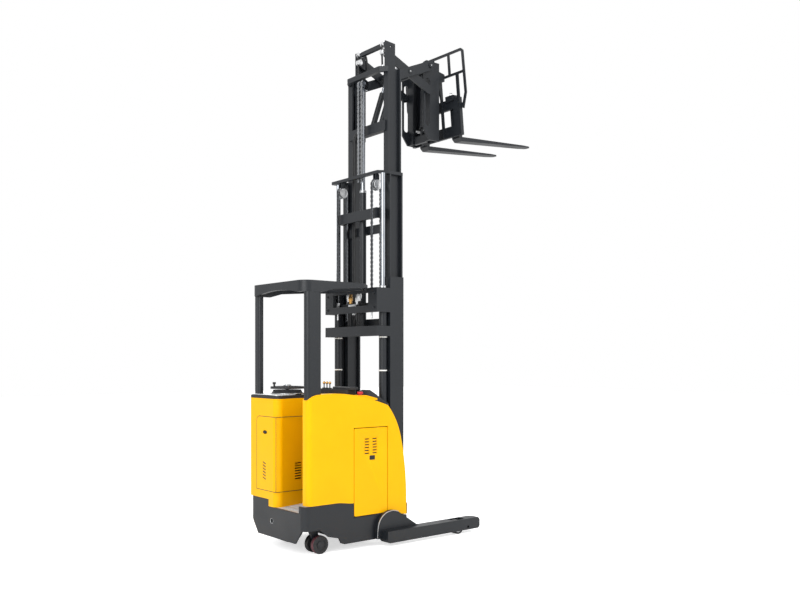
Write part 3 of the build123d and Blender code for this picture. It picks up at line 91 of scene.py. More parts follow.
def new_material(name):
    """An empty material with its output, and a Principled shader linked to it."""
    material = bpy.data.materials.new(name)
    material.use_nodes = True
    tree = material.node_tree
    tree.nodes.clear()
    shader = add_node(tree, "ShaderNodeBsdfPrincipled")
    add_node(tree, "ShaderNodeOutputMaterial", inputs={"Surface": shader.outputs["BSDF"]})
    return material, tree, shader


bpy.ops.object.camera_add(
    location=(rear - camera_behind, -camera_aside, camera_height),
    rotation=(math.radians(90), 0, math.radians(-camera_turn)),
)
camera = bpy.context.object
camera.data.lens = lens
camera.data.sensor_width = 36
camera.data.shift_y = horizon_shift
camera.data.clip_end = 100
bpy.context.scene.camera = camera
bpy.context.scene.view_settings.view_transform = "Standard"

floor_size = 60
floor_glow = 0.62
bpy.ops.mesh.primitive_plane_add(size=floor_size, location=(0, 0, 0))
floor = bpy.context.object
floor.name = "studio_floor"
floor_paint, tree, shader = new_material("seamless white floor")
shader.inputs["Base Color"].default_value = linear("F4F4F4")
shader.inputs["Roughness"].default_value = 0.8
rays = add_node(tree, "ShaderNodeLightPath")
glow = {"Color": (1, 1, 1, 1), "Strength": floor_glow}
glow = add_node(tree, "ShaderNodeEmission", inputs=glow)
both = {0: shader.outputs["BSDF"], 1: glow.outputs["Emission"]}
both = add_node(tree, "ShaderNodeAddShader", inputs=both)
seen = {0: rays.outputs["Is Camera Ray"], 1: shader.outputs["BSDF"], 2: both.outputs["Shader"]}
seen = add_node(tree, "ShaderNodeMixShader", inputs=seen)
tree.links.new(seen.outputs["Shader"], tree.nodes["Material Output"].inputs["Surface"])
floor.data.materials.append(floor_paint)

room_light = 0.84
world = bpy.data.worlds.new("pale studio")
bpy.context.scene.world = world
world.use_nodes = True
tree = world.node_tree
tree.nodes.clear()
rays = add_node(tree, "ShaderNodeLightPath")
direct = {0: rays.outputs["Is Camera Ray"], 1: rays.outputs["Is Transmission Ray"]}
direct = add_node(tree, "ShaderNodeMath", {"operation": "MAXIMUM"}, direct)
ambient = {"Color": (1, 1, 1, 1), "Strength": room_light}
ambient = add_node(tree, "ShaderNodeBackground", inputs=ambient)
backdrop = add_node(tree, "ShaderNodeBackground", inputs={"Color": (1, 1, 1, 1), "Strength": 1.0})
sky = {0: direct.outputs[0], 1: ambient.outputs[0], 2: backdrop.outputs[0]}
sky = add_node(tree, "ShaderNodeMixShader", inputs=sky)
add_node(tree, "ShaderNodeOutputWorld", inputs={"Surface": sky.outputs["Shader"]})

# place, size and watts of each soft lamp, all aimed at the truck's middle
lamps = (
    ("overhead lamp", (-1.5, -2.5, 7.5), 5.0, 185),
    ("rear lamp", (-7.0, -3.0, 4.0), 4.0, 200),
    ("side lamp", (2.5, -8.0, 4.5), 4.5, 95),
    ("far lamp", (1.0, 7.0, 5.0), 4.0, 160),
)
lamp_target = Vector((0, 0, 1.6))
for name, place, size, watts in lamps:
    bpy.ops.object.light_add(type="AREA", location=place)
    lamp = bpy.context.object
    lamp.name = name
    lamp.data.size = size
    lamp.data.energy = watts
    aim = lamp_target - Vector(place)
    lamp.rotation_euler = aim.to_track_quat("-Z", "Y").to_euler()


# Painted steelwork: folded and welded plate, blasted and powder coated. The bodywork is a
# full-gloss signal yellow; the mast, guard, legs and skirt are a fine-textured dark grey.
def ramp(tree, value, low, high, to_low, to_high):
    """A value from a pattern, spread from one range to another."""
    spread = {"Value": value, "From Min": low, "From Max": high}
    spread.update({"To Min": to_low, "To Max": to_high})
    return add_node(tree, "ShaderNodeMapRange", inputs=spread).outputs["Result"]


def noise(tree, place, scale, **more):
    """A cloudy pattern on the given coordinates, as a value."""
    inputs = {"Vector": place, "Scale": scale}
    inputs.update(more)
    return add_node(tree, "ShaderNodeTexNoise", inputs=inputs).outputs["Fac"]


def tint(tree, shader, colour, value):
    """Give a shader one colour, lighter and darker by a pattern."""
    tone = {"Color": linear(colour), "Value": value}
    tone = add_node(tree, "ShaderNodeHueSaturation", inputs=tone)
    tree.links.new(tone.outputs["Color"], shader.inputs["Base Color"])


def roughen(tree, shader, height, strength, distance):
    """Give a shader a relief from a pattern, its depth in metres."""
    bump = {"Height": height, "Strength": strength, "Distance": distance}
    bump = add_node(tree, "ShaderNodeBump", inputs=bump)
    tree.links.new(bump.outputs["Normal"], shader.inputs["Normal"])


def powder_coat(name, colour, roughness, grain_mm, grain_depth):
    """Baked powder paint: even colour, faint orange peel and a little handling haze."""
    material, tree, shader = new_material(name)
    place = add_node(tree, "ShaderNodeTexCoord").outputs["Object"]
    haze = noise(tree, place, 3.2, Detail=5.0, Roughness=0.6)
    tint(tree, shader, colour, ramp(tree, haze, 0.3, 0.7, 0.955, 1.03))
    gloss = ramp(tree, haze, 0.3, 0.7, roughness - 0.05, roughness + 0.07)
    tree.links.new(gloss, shader.inputs["Roughness"])
    peel = noise(tree, place, 500 / grain_mm, Detail=2.0)
    roughen(tree, shader, peel, grain_depth, 0.0006)
    return material


# the yellow pigment is strong and its film clear, so little white shine lies over it
yellow_paint = powder_coat("signal yellow powder coat", "FDBA00", 0.34, 9, 0.14)
yellow_shader = yellow_paint.node_tree.nodes["Principled BSDF"]
yellow_shader.inputs["Specular IOR Level"].default_value = 0.15
dark_paint = powder_coat("fine textured graphite powder coat", "171B20", 0.4, 5, 0.3)


def give(material, *names):
    """Put one material in every slot of the named CAD nodes."""
    for name in names:
        mesh = nodes[name].data
        if not mesh.materials:
            mesh.materials.append(material)
        for slot in nodes[name].material_slots:
            slot.link = "OBJECT"
            slot.material = material


give(yellow_paint, "drive_cover", "side_panel_right", "side_panel_left", "service_door", "top_deck")
give(dark_paint, "chassis_skirt", "bulkhead", "wheel_plate", "caster_yoke", "leg_right", "leg_left")
give(dark_paint, "guard_roof", "guard_posts", "mast_outer", "mast_mount_frame", "mast_middle")
give(dark_paint, "mast_inner", "lift_barrels", "free_barrel", "lift_carriage", "reach_barrels")
give(dark_paint, "inner_arms", "outer_arms", "reach_frame", "tilt_cylinder", "fork_carriage")
give(dark_paint, "backrest", "fork_right", "fork_left")

# Console, corner cowl, control pod and battery case: injection-moulded black ABS with a
# spark-eroded grain, which looks matt and slightly grey where the light grazes it.
black_abs, tree, shader = new_material("grained black ABS moulding")
place = add_node(tree, "ShaderNodeTexCoord").outputs["Object"]
grain_mm = 2.5
grain = {"Vector": place, "Scale": 1000 / grain_mm}
grain = add_node(tree, "ShaderNodeTexVoronoi", {"feature": "SMOOTH_F1"}, grain).outputs["Distance"]
dust = noise(tree, place, 9.0, Detail=4.0)
tint(tree, shader, "232427", ramp(tree, dust, 0.35, 0.7, 0.85, 1.2))
tree.links.new(ramp(tree, dust, 0.3, 0.7, 0.5, 0.62), shader.inputs["Roughness"])
roughen(tree, shader, grain, 0.25, 0.0004)
give(black_abs, "console", "corner_cowl", "control_pod", "battery", "steering_wheel")

# Stop button: a gloss red moulded mushroom head; its colour is even and its shine sharp.
red_gloss, tree, shader = new_material("gloss red moulded nylon")
place = add_node(tree, "ShaderNodeTexCoord").outputs["Object"]
smear = noise(tree, place, 60.0)
shader.inputs["Base Color"].default_value = linear("C8101E")
shader.inputs["Coat Weight"].default_value = 0.4
tree.links.new(ramp(tree, smear, 0.3, 0.7, 0.2, 0.32), shader.inputs["Roughness"])
give(red_gloss, "stop_button")


# Rods of the lift, free-lift and reach cylinders: hard chrome, ground and polished round.
# It mirrors the room, with a haze of fine grinding rings that stretches the highlights.
def bare_metal(name, colour, roughness, spread, line_mm, line_depth, along):
    """Worked metal: its tool marks are lines a few tenths apart, drawn coarse enough to show."""
    material, tree, shader = new_material(name)
    place = add_node(tree, "ShaderNodeTexCoord").outputs["Object"]
    stretch = [20 if axis == along else 1000 / line_mm for axis in "XYZ"]
    lines = {"Vector": place, "Scale": stretch}
    lines = add_node(tree, "ShaderNodeMapping", inputs=lines).outputs["Vector"]
    marks = noise(tree, lines, 1.0, Detail=3.0)
    film = noise(tree, place, 7.0, Detail=4.0)
    tint(tree, shader, colour, ramp(tree, film, 0.3, 0.7, 0.85, 1.08))
    shader.inputs["Metallic"].default_value = 1.0
    gloss = ramp(tree, film, 0.3, 0.7, roughness - spread, roughness + spread)
    tree.links.new(gloss, shader.inputs["Roughness"])
    roughen(tree, shader, marks, line_depth, 0.0003)
    return material


hard_chrome = bare_metal("ground hard chrome", "A4A8AE", 0.16, 0.04, 3, 0.08, "Z")
give(hard_chrome, "lift_rods", "free_rod", "reach_rods")

# Chain wheels: turned steel sheaves, bright and a little oily.
turned_steel = bare_metal("turned steel", "C4C6C8", 0.3, 0.08, 2, 0.2, "Y")
oiled_steel = bare_metal("oiled spring steel", "6F7174", 0.36, 0.1, 4, 0.2, "Z")
give(turned_steel, "middle_chain_wheels")
give(oiled_steel, "middle_chains", "free_chains")

# Drive motor and gear case: rough grey-black painted iron castings.
cast_iron = powder_coat("painted iron casting", "26282B", 0.6, 14, 0.8)
give(cast_iron, "drive_unit")


# Standing platform: the floor pan under the operator, a light grey sheet that shows as a
# pale wedge over the skirt, with a ribbed pale grey rubber mat laid on it.
def pick_faces(piece, test):
    """In edit mode, select the faces whose middle and normal pass the test."""
    bpy.ops.mesh.select_mode(type="FACE")
    bpy.ops.mesh.select_all(action="DESELECT")
    mesh = bmesh.from_edit_mesh(piece.data)
    for face in mesh.faces:
        face.select_set(bool(test(face.calc_center_median(), face.normal)))
    bmesh.update_edit_mesh(piece.data)


def start(kind, **shape):
    """A new primitive alone in the selection, in edit mode."""
    if bpy.context.object and bpy.context.object.mode == "EDIT":
        bpy.ops.object.mode_set(mode="OBJECT")
    bpy.ops.object.select_all(action="DESELECT")
    getattr(bpy.ops.mesh, "primitive_" + kind + "_add")(**shape)
    bpy.ops.object.transform_apply(location=True, rotation=True, scale=True)
    bpy.ops.object.mode_set(mode="EDIT")
    return bpy.context.object


def block(low, high):
    """A box between two corners, in edit mode and ready to be shaped."""
    middle = [(a + b) / 2 for a, b in zip(low, high)]
    return start("cube", size=1, location=middle, scale=[b - a for a, b in zip(low, high)])


def raised(thickness, height):
    """Inset the picked faces as one, and raise or, with a height under 0, sink the middle."""
    bpy.ops.mesh.inset(thickness=thickness)
    bpy.ops.mesh.extrude_region_shrink_fatten(TRANSFORM_OT_shrink_fatten={"value": height})


def bevel_edges(piece, width, segments, angle):
    """Round every edge sharper than an angle, in degrees."""
    bevel = piece.modifiers.new("rounded edges", "BEVEL")
    bevel.width = width
    bevel.segments = segments
    bevel.limit_method = "ANGLE"
    bevel.angle_limit = math.radians(angle)
    bpy.ops.object.modifier_apply(modifier=bevel.name)


def finish(piece, name, material, body, rounding=0, segments=2):
    """Round the sharp edges, smooth, name, colour and hang a piece that was just shaped."""
    bpy.ops.object.mode_set(mode="OBJECT")
    if rounding:
        bevel_edges(piece, rounding, segments, 35)
    bpy.ops.object.shade_smooth_by_angle(angle=math.radians(32))
    piece.name = name
    piece.data.materials.clear()
    piece.data.materials.append(material)
    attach(piece, body)
    return piece


pan_grey = powder_coat("pale grey sheet enamel", "C9CCCD", 0.4, 6, 0.15)
give(pan_grey, "bay_floor")
mat_rubber, tree, shader = new_material("ribbed grey mat rubber")
place = add_node(tree, "ShaderNodeTexCoord").outputs["Object"]
wear = noise(tree, place, 5.0, Detail=6.0)
tint(tree, shader, "B9BCBE", ramp(tree, wear, 0.35, 0.7, 0.85, 1.12))
tree.links.new(ramp(tree, wear, 0.3, 0.7, 0.65, 0.85), shader.inputs["Roughness"])
floor_low, floor_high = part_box("bay_floor")
cover_low, cover_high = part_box("drive_cover")
mat_thickness = 0.006
mat_margin = 0.02
rib_height = 0.004
rib_pitch = 0.03
rib_share = 0.6
ribs_from = floor_low[0] + 0.08
mat = block(
    (floor_low[0] + 0.05, floor_low[1] + 0.075, floor_high[2]),
    (floor_high[0] - 0.012, cover_low[1] - mat_margin, floor_high[2] + mat_thickness),
)
rib_count = int((floor_high[0] - floor_low[0] - 0.12) / rib_pitch)
cuts = [ribs_from]
for index in range(rib_count):
    cuts += [ribs_from + rib_pitch * (index + 1), ribs_from + rib_pitch * (index + 1 + rib_share)]
for cut in cuts:
    bpy.ops.mesh.select_all(action="SELECT")
    bpy.ops.mesh.bisect(plane_co=(cut, 0, 0), plane_no=(1, 0, 0))
first_rib = ribs_from + rib_pitch
pick_faces(
    mat,
    lambda middle, normal: normal.z > 0.9
    and middle.x > first_rib
    and (middle.x - first_rib) % rib_pitch < rib_pitch * rib_share,
)
bpy.ops.mesh.extrude_region_shrink_fatten(TRANSFORM_OT_shrink_fatten={"value": rib_height})
finish(mat, "platform_mat", mat_rubber, "chassis", 0.0012)


# Console top: a satin silver tray pressed over the black rim of the drive cover, with a black
# edging below it; the steering disc's foot stands through the tray. The tray's pale silver is also
# a painted highlight, standing in for the bright light along the console's top.
def pick_points(piece, test):
    """In edit mode, select the points that pass the test."""
    bpy.ops.mesh.select_mode(type="VERT")
    bpy.ops.mesh.select_all(action="DESELECT")
    mesh = bmesh.from_edit_mesh(piece.data)
    for point in mesh.verts:
        point.select_set(bool(test(point.co)))
    bmesh.update_edit_mesh(piece.data)


console_low, console_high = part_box("console")
wheel_low, wheel_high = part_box("steering_wheel")
# pale silver for the tray, which is also a painted highlight along the console top
tray_silver_and_painted_highlight = powder_coat("satin silver tray enamel and painted highlight", "E8EAEB", 0.34, 6, 0.1)
rim_top = cover_high[2] + 0.026
tray_thickness = 0.007
tray = block(
    (console_low[0] + 0.008, console_low[1] + 0.012, rim_top),
    (console_high[0] - 0.15, console_high[1] - 0.006, rim_top + tray_thickness),
)
pick_points(tray, lambda point: point.y < 0)
bpy.ops.transform.translate(value=(0.0, 0.008, 0))
pick_points(tray, lambda point: point.y < 0.1 and point.x > rear + 0.2)
bpy.ops.transform.translate(value=(0.0, 0.078, 0))
finish(tray, "console_tray_painted_highlight", tray_silver_and_painted_highlight, "chassis", 0.003, 3)
# Edging: a moulded black strip that hides the joint between tray and cover sheet.
band = block(
    (cover_low[0] + 0.001, console_low[1] + 0.05, rim_top - 0.006),
    (cover_low[0] + 0.006, console_high[1] - 0.03, rim_top + 0.004),
)
finish(band, "console_edging", black_abs, "chassis", 0.002, 3)


# Steering disc: a bright turned ring on the console under it and a turned cap over its middle, both
# pressed on the black moulding. The ring's bright steel also paints the highlight along the disc's
# dark rim.
def hollow(piece, axis, wall):
    """Open a picked shape along an axis into a ring with a wall of the given thickness."""
    index = "xyz".index(axis)
    pick_faces(piece, lambda middle, normal: abs(normal[index]) > 0.9)
    bpy.ops.mesh.inset(thickness=wall)
    bpy.ops.mesh.delete(type="FACE")
    bpy.ops.mesh.select_mode(type="EDGE")
    bpy.ops.mesh.select_non_manifold()
    bpy.ops.mesh.bridge_edge_loops()
    bpy.ops.mesh.select_all(action="SELECT")
    bpy.ops.mesh.normals_make_consistent(inside=False)


hub_x = (wheel_low[0] + wheel_high[0]) / 2 + 0.0005
hub_y = (wheel_low[1] + wheel_high[1]) / 2
ring_at = (hub_x, hub_y, console_high[2] - 0.03)
# bright steel ring, which is also a painted highlight along the disc's dark rim
ring = start("cylinder", vertices=96, radius=0.148, depth=0.006, location=ring_at)
hollow(ring, "z", 0.006)
finish(ring, "steering_foot_ring_painted_highlight", turned_steel, "chassis", 0.0015)
cap_at = (hub_x, hub_y, wheel_low[2] + 0.036)
cap = start("cylinder", vertices=48, radius=0.034, depth=0.012, location=cap_at)
pick_faces(cap, lambda middle, normal: normal.z > 0.9)
raised(0.008, 0.004)
finish(cap, "steering_cap", turned_steel, "steering_wheel", 0.002, 3)

# Finger levers in the control pod: turned brass knobs, flattened under, on plated stems.
brass = bare_metal("satin turned brass", "D9A860", 0.28, 0.06, 2, 0.15, "Z")
pod_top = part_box("control_pod")[1][2]
lever_pitch = 0.044
knob_radius = 0.0125
for index in range(3):
    knob_at = (rear + 0.56, 0.02 + lever_pitch * index, pod_top - 0.011)
    knob = start("uv_sphere", segments=32, ring_count=16, radius=knob_radius, location=knob_at)
    bpy.ops.transform.resize(value=(1.0, 1.0, 1.1), center_override=knob_at)
    knob_foot = (0, 0, pod_top - 0.021)
    bpy.ops.mesh.bisect(plane_co=knob_foot, plane_no=(0, 0, 1), clear_inner=True, use_fill=True)
    finish(knob, "lever_knob_%d" % (index + 1), brass, "chassis")


# Wheels: a polyurethane tread cast on a turned hub, black on the drive and load wheels. Each
# hub is dished about a boss, so the faces show rings.
def tread(name, colour):
    """Cast polyurethane: smooth and half gloss, scuffed duller and greyer where it rolls."""
    material, tree, shader = new_material(name)
    place = add_node(tree, "ShaderNodeTexCoord").outputs["Object"]
    scuff = noise(tree, place, 30.0, Detail=6.0)
    tint(tree, shader, colour, ramp(tree, scuff, 0.35, 0.7, 0.8, 1.4))
    tree.links.new(ramp(tree, scuff, 0.3, 0.7, 0.4, 0.6), shader.inputs["Roughness"])
    roughen(tree, shader, scuff, 0.2, 0.0004)
    return material


maroon_tread = tread("maroon polyurethane tread", "5A3036")
black_tread = tread("black polyurethane tread", "1E1E20")
across = (math.pi / 2, 0, 0)


def tyre(name, middle, radius, width, wall, material, body):
    """A ring of tread about a level axle, with rounded shoulders."""
    shape = {"vertices": 72, "radius": radius, "depth": width}
    piece = start("cylinder", location=middle, rotation=across, **shape)
    hollow(piece, "y", wall)
    return finish(piece, name, material, body, min(0.006, wall * 0.4), 4)


def hub(name, middle, radius, width, material, body):
    """A turned hub: a raised rim, a dished web and a boss about the axle."""
    shape = {"vertices": 72, "radius": radius, "depth": width}
    piece = start("cylinder", location=middle, rotation=across, **shape)

    def is_centre(place, normal):
        return abs(normal.y) > 0.9 and abs(place.x - middle[0]) < radius * 0.01

    turned_edge = 0.0008
    steps = ((radius * 0.14, 0), (turned_edge, -width * 0.16))
    steps += ((radius * 0.3, 0), (turned_edge, width * 0.18))
    for inset, step in steps:
        pick_faces(piece, is_centre)
        bpy.ops.mesh.inset(thickness=inset, use_individual=True)
        pick_faces(piece, is_centre)
        if step:
            bpy.ops.mesh.extrude_faces_move(TRANSFORM_OT_shrink_fatten={"value": step})
    return finish(piece, name, material, body, 0.0008)


def middle_of(low, high):
    """The point halfway between two corners."""
    return Vector([(a + b) / 2 for a, b in zip(low, high)])


for body in ("load_wheel_right", "load_wheel_left"):
    side = body.rsplit("_", 1)[1]
    low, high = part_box(body)
    middle = middle_of(low, high)
    radius, width = (high[2] - low[2]) / 2, high[1] - low[1]
    rolling = tyre("load_tread_" + side, middle, radius, width, 0.016, black_tread, body)
    hub("load_hub_" + side, middle, radius - 0.0155, width - 0.006, turned_steel, body)
    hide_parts(body)

low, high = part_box("drive_wheel")
middle = middle_of(low, high)
radius, width = (high[2] - low[2]) / 2, high[1] - low[1]
rolling = tyre("drive_tread", middle, radius, width, 0.03, black_tread, "drive_wheel")
hub("drive_hub", middle, radius - 0.0295, width - 0.01, cast_iron, "drive_wheel")
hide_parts("drive_wheel")

# Twin caster: two narrow wheels on one axle under a swivelling fork. The right one's tread is
# maroon and the left one's black, each between black side rings, with a domed axle cap.
low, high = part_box("caster_wheels")
caster_radius = (high[2] - low[2]) / 2
wheel_width = 0.042
side_ring = 0.004
axle = middle_of(low, high)
caster_gap = high[1] - low[1] - 2 * wheel_width
for side, s, finish_of_tread in (("right", -1, maroon_tread), ("left", 1, black_tread)):
    middle = axle + Vector((0, s * (caster_gap + wheel_width) / 2, 0))
    name = "caster_tread_" + side
    width = wheel_width - 2 * side_ring
    rolling = tyre(name, middle, caster_radius, width, 0.02, finish_of_tread, "caster_wheels")
    for face in (-1, 1):
        name = "caster_ring_%s_%s" % (side, "out" if face == s else "in")
        place = middle + Vector((0, face * (wheel_width - side_ring) / 2, 0))
        radius = caster_radius - 0.001
        tyre(name, place, radius, side_ring, 0.019, black_tread, "caster_wheels")
    radius, width = caster_radius - 0.0195, wheel_width - 0.004
    hub("caster_hub_" + side, middle, radius, width, black_abs, "caster_wheels")
    cap_at = middle + Vector((0, s * wheel_width * 0.42, 0))
    cap = start("uv_sphere", segments=32, ring_count=16, radius=0.02, location=cap_at)
    bpy.ops.transform.resize(value=(1, 0.42, 1), center_override=cap_at)
    finish(cap, "caster_axle_cap_" + side, black_abs, "caster_wheels")
    if s < 0:
        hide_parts("caster_wheels")
shape = {"vertices": 32, "radius": 0.0118, "depth": caster_gap + 0.004}
stub = start("cylinder", location=axle, rotation=across, **shape)
finish(stub, "caster_axle", turned_steel, "caster_wheels", 0.001)


# Leaf chains: stamped link plates on cross pins, laced three and two, with no rollers. They run
# straight over the sheaves. Oil holds dust on the mast's chains, so they look dark; the free lift's
# pair is drawn in the brighter turned steel.
def round_across(piece, offset, segments):
    """Round the four edges of a block that run across the truck."""
    bpy.ops.mesh.select_mode(type="EDGE")
    bpy.ops.mesh.select_all(action="DESELECT")
    mesh = bmesh.from_edit_mesh(piece.data)
    for edge in mesh.edges:
        run = edge.verts[0].co - edge.verts[1].co
        edge.select_set(abs(run.normalized().y) > 0.9)
    bmesh.update_edit_mesh(piece.data)
    bpy.ops.mesh.bevel(offset=offset, segments=segments)


def gathered(shapes, piece):
    """Put copies of meshes, each at its own place, into one piece and choose it alone."""
    whole = bmesh.new()
    for source, place in shapes:
        shape = source.copy()
        shape.transform(place)
        whole.from_mesh(shape)
        bpy.data.meshes.remove(shape)
    whole.to_mesh(piece.data)
    whole.free()
    bpy.ops.object.select_all(action="DESELECT")
    piece.select_set(True)
    bpy.context.view_layer.objects.active = piece


def leaf_chain(name, width, depth, route, body, replaced, material):
    """Plates and pins set along a route of places and slopes, a pitch apart."""
    thick = width / 5
    length = chain_pitch * 0.8 + depth * 0.92
    plate = start("cube", size=1, location=(0, 0, 0), scale=(depth, thick * 0.86, length))
    round_across(plate, depth * 0.44, 3)
    bpy.ops.object.mode_set(mode="OBJECT")
    shape = {"vertices": 10, "radius": depth * 0.24, "depth": width * 1.02}
    pin = start("cylinder", rotation=across, **shape)
    bpy.ops.object.mode_set(mode="OBJECT")
    shapes = []
    for index, (place, slope) in enumerate(route):
        turn = Matrix.Translation(place) @ Matrix.Rotation(slope, 4, "Y")
        for layer in (-2, 0, 2) if index % 2 else (-1, 1):
            shapes.append((plate.data, turn @ Matrix.Translation((0, layer * thick, 0))))
        shapes.append((pin.data, turn @ Matrix.Translation((0, 0, chain_pitch / 2))))
    gathered(shapes, plate)
    bpy.data.objects.remove(pin)
    bpy.ops.object.mode_set(mode="EDIT")
    finish(plate, name, material, body)
    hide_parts(replaced)


def route_over(middle, radius, rear_fall, front_fall):
    """Places a pitch apart up behind a sheave, over it and down in front."""
    places = []
    over = math.pi * radius
    total = rear_fall + over + front_fall
    for index in range(int(total / chain_pitch)):
        along = (index + 0.5) * chain_pitch
        if along < rear_fall:
            places.append((middle + Vector((-radius, 0, along - rear_fall)), 0))
        elif along < rear_fall + over:
            angle = (along - rear_fall) / radius
            step = Vector((-math.cos(angle), 0, math.sin(angle)))
            places.append((middle + radius * step, angle))
        else:
            places.append((middle + Vector((radius, 0, rear_fall + over - along)), math.pi))
    return places


sides = (("right", -1), ("left", 1))
chain_pitch = 0.01905
low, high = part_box("middle_chains")
sheave_middle = middle_of(*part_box("middle_chain_wheels"))
chain_depth = 0.012
chain_width = 0.025
chain_radius = (high[0] - low[0] - chain_depth) / 2
rear_fall, front_fall = 1.05, 1.19
chain_y = 0.252
for side, s in sides:
    middle = Vector((sheave_middle.x, s * chain_y, sheave_middle.z))
    route = route_over(middle, chain_radius, rear_fall, front_fall)
    name = "mast_chain_" + side
    stage = ("middle_stage", "middle_chains")
    leaf_chain(name, chain_width, chain_depth, route, *stage, oiled_steel)
low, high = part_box("free_chains")
free_radius = 0.0365
free_depth = 0.0075
free_width = 0.0245
free_y = 0.024
free_top = Vector((low[0] + free_radius, 0, high[2] - free_radius))
for side, s in sides:
    middle = free_top + Vector((0, s * free_y, 0))
    route = route_over(middle, free_radius - free_depth / 2, free_top.z - low[2], 0)
    name = "free_chain_" + side
    stage = ("crosshead", "free_chains")
    leaf_chain(name, free_width, free_depth, route, *stage, turned_steel)

# Sheave caps: each chain wheel turns on a sealed bearing, closed outside its cheeks by a
# pressed cap that is zinc plated, pale and soft in its shine.
zinc_steel = bare_metal("bright zinc plated steel", "F1F2F3", 0.42, 0.06, 3, 0.15, "Z")
cap_offset = 0.0255
for side, s in sides:
    for face in (-1, 1):
        name = "sheave_cap_%s_%s" % (side, "in" if face == -s else "out")
        middle = (sheave_middle.x, s * chain_y + face * cap_offset, sheave_middle.z)
        shape = {"vertices": 48, "radius": 0.042, "depth": 0.004}
        cap = start("cylinder", location=middle, rotation=across, **shape)
        pick_faces(cap, lambda place, normal: abs(normal.y) > 0.9)
        bpy.ops.mesh.inset(thickness=0.006, use_individual=True)
        bpy.ops.mesh.extrude_faces_move(TRANSFORM_OT_shrink_fatten={"value": -0.001})
        finish(cap, name, zinc_steel, "middle_stage", 0.0006)

# Drive cover's service panel: a lift-off sheet held by one lock. Its edge shows as a narrow
# dark gap with a rounded upper corner; the gap's black seal stands flush in it, and runs on
# along the face beside the bay.
seal_proud = 0.0003
seal_width = 0.0045
seal_depth = 0.0012
panel_low, panel_high = 0.470, 1.100
panel_inner, panel_outer = cover_low[1] + 0.002, 0.318
seam = start("plane", size=1, rotation=(0, math.pi / 2, 0))
panel_size = (1, panel_outer - panel_inner, panel_high - panel_low)
bpy.ops.transform.resize(value=panel_size, center_override=(0, 0, 0))
seam_x = rear - seal_proud + seal_depth
panel_middle = (seam_x, (panel_inner + panel_outer) / 2, (panel_low + panel_high) / 2)
bpy.ops.transform.translate(value=panel_middle)
near = 0.001
pick_points(seam, lambda point: point.y > panel_outer - near and point.z > panel_high - near)
bpy.ops.mesh.bevel(offset=0.05, segments=8, affect="VERTICES")
bpy.ops.mesh.select_mode(type="FACE")
bpy.ops.mesh.select_all(action="SELECT")
bpy.ops.mesh.inset(thickness=seal_width)
bpy.ops.mesh.delete(type="FACE")
bpy.ops.mesh.select_all(action="SELECT")
bpy.ops.mesh.extrude_region_move(TRANSFORM_OT_translate={"value": (-seal_depth, 0, 0)})
bpy.ops.mesh.select_all(action="SELECT")
bpy.ops.mesh.normals_make_consistent(inside=False)
finish(seam, "cover_panel_seal", black_abs, "chassis")
for name, height in (("low", panel_low), ("high", panel_high - 0.004)):
    strip = block(
        (rear + 0.001, cover_low[1] - seal_proud, height),
        (rear + 0.478, cover_low[1] + 0.001, height + seal_width),
    )
    finish(strip, "cover_side_seal_" + name, black_abs, "chassis", 0.0001, 1)
# Lock: an oval black moulded finger pull, level with the sheet.
lengthways = (0, math.pi / 2, 0)
lock_at = (rear + 0.0010, 0.177, 0.965)
shape = {"vertices": 40, "radius": 0.016, "depth": 0.002}
lock = start("cylinder", location=lock_at, rotation=lengthways, **shape)
bpy.ops.transform.resize(value=(1, 2.1, 1), center_override=lock_at)
pick_faces(lock, lambda place, normal: normal.x < -0.9)
raised(0.006, 0.0003)
finish(lock, "cover_lock", black_abs, "chassis")
# Plug: a pressed yellow cap closes the spare lock hole.
plug_at = (rear + 0.0017, 0.240, 0.960)
shape = {"vertices": 40, "radius": 0.0145, "depth": 0.004}
plug = start("cylinder", location=plug_at, rotation=lengthways, **shape)
pick_faces(plug, lambda place, normal: normal.x > 0.9)
raised(0.003, 0.006)
finish(plug, "cover_plug", yellow_paint, "chassis", 0.0004)
# Louvre screen: a black pad fixed in the cover, behind the slanted louvres; it is painted shade
# that darkens the slots like the shadow inside them.
screen = block((rear + 0.0016, 0.085, 0.515), (rear + 0.0046, 0.245, 0.75))
pick_faces(screen, lambda place, normal: normal.x < -0.9)
raised(0.008, 0.0004)
finish(screen, "cover_louvre_painted_shade", black_abs, "chassis", 0.0003)

# Service door: one yellow sheet with rounded corners, six rows of punched louvres under pressed
# hoods in two columns, a black filter pad behind them and a black paddle latch. The pad is also
# painted shade: it darkens the slots like the shadow inside them.
door_low, door_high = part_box("service_door")
sheet_rear, sheet_front = door_low[1] + 0.0092, door_low[1] + 0.0012
door = block((door_low[0], sheet_front, door_low[2]), (door_high[0], sheet_rear, door_high[2]))
round_across(door, 0.014, 6)
finish(door, "service_door_sheet", yellow_paint, "service_door")
louvre_rows, louvre_row_pitch, louvre_top = 6, 0.0242, 0.912
louvre_columns = (rear + 0.630, rear + 0.713)
louvre_long, louvre_high = 0.046, 0.011
louvre_levels = [louvre_top - row * louvre_row_pitch for row in range(louvre_rows)]
louvre_places = [(column, level) for column in louvre_columns for level in louvre_levels]
cutter = start("cube", size=1, location=(0, 0, 0), scale=(louvre_long, 0.03, louvre_high))
round_across(cutter, 0.0045, 4)
bpy.ops.object.mode_set(mode="OBJECT")
shapes = [
    (cutter.data, Matrix.Translation((x, door_low[1] + 0.005, z))) for x, z in louvre_places
]
gathered(shapes, cutter)
bpy.ops.object.select_all(action="DESELECT")
door.select_set(True)
bpy.context.view_layer.objects.active = door
cut = door.modifiers.new("louvre slots", "BOOLEAN")
cut.object = cutter
cut.solver = "EXACT"
bpy.ops.object.modifier_apply(modifier=cut.name)
bpy.data.objects.remove(cutter)
bevel_edges(door, 0.0012, 2, 50)
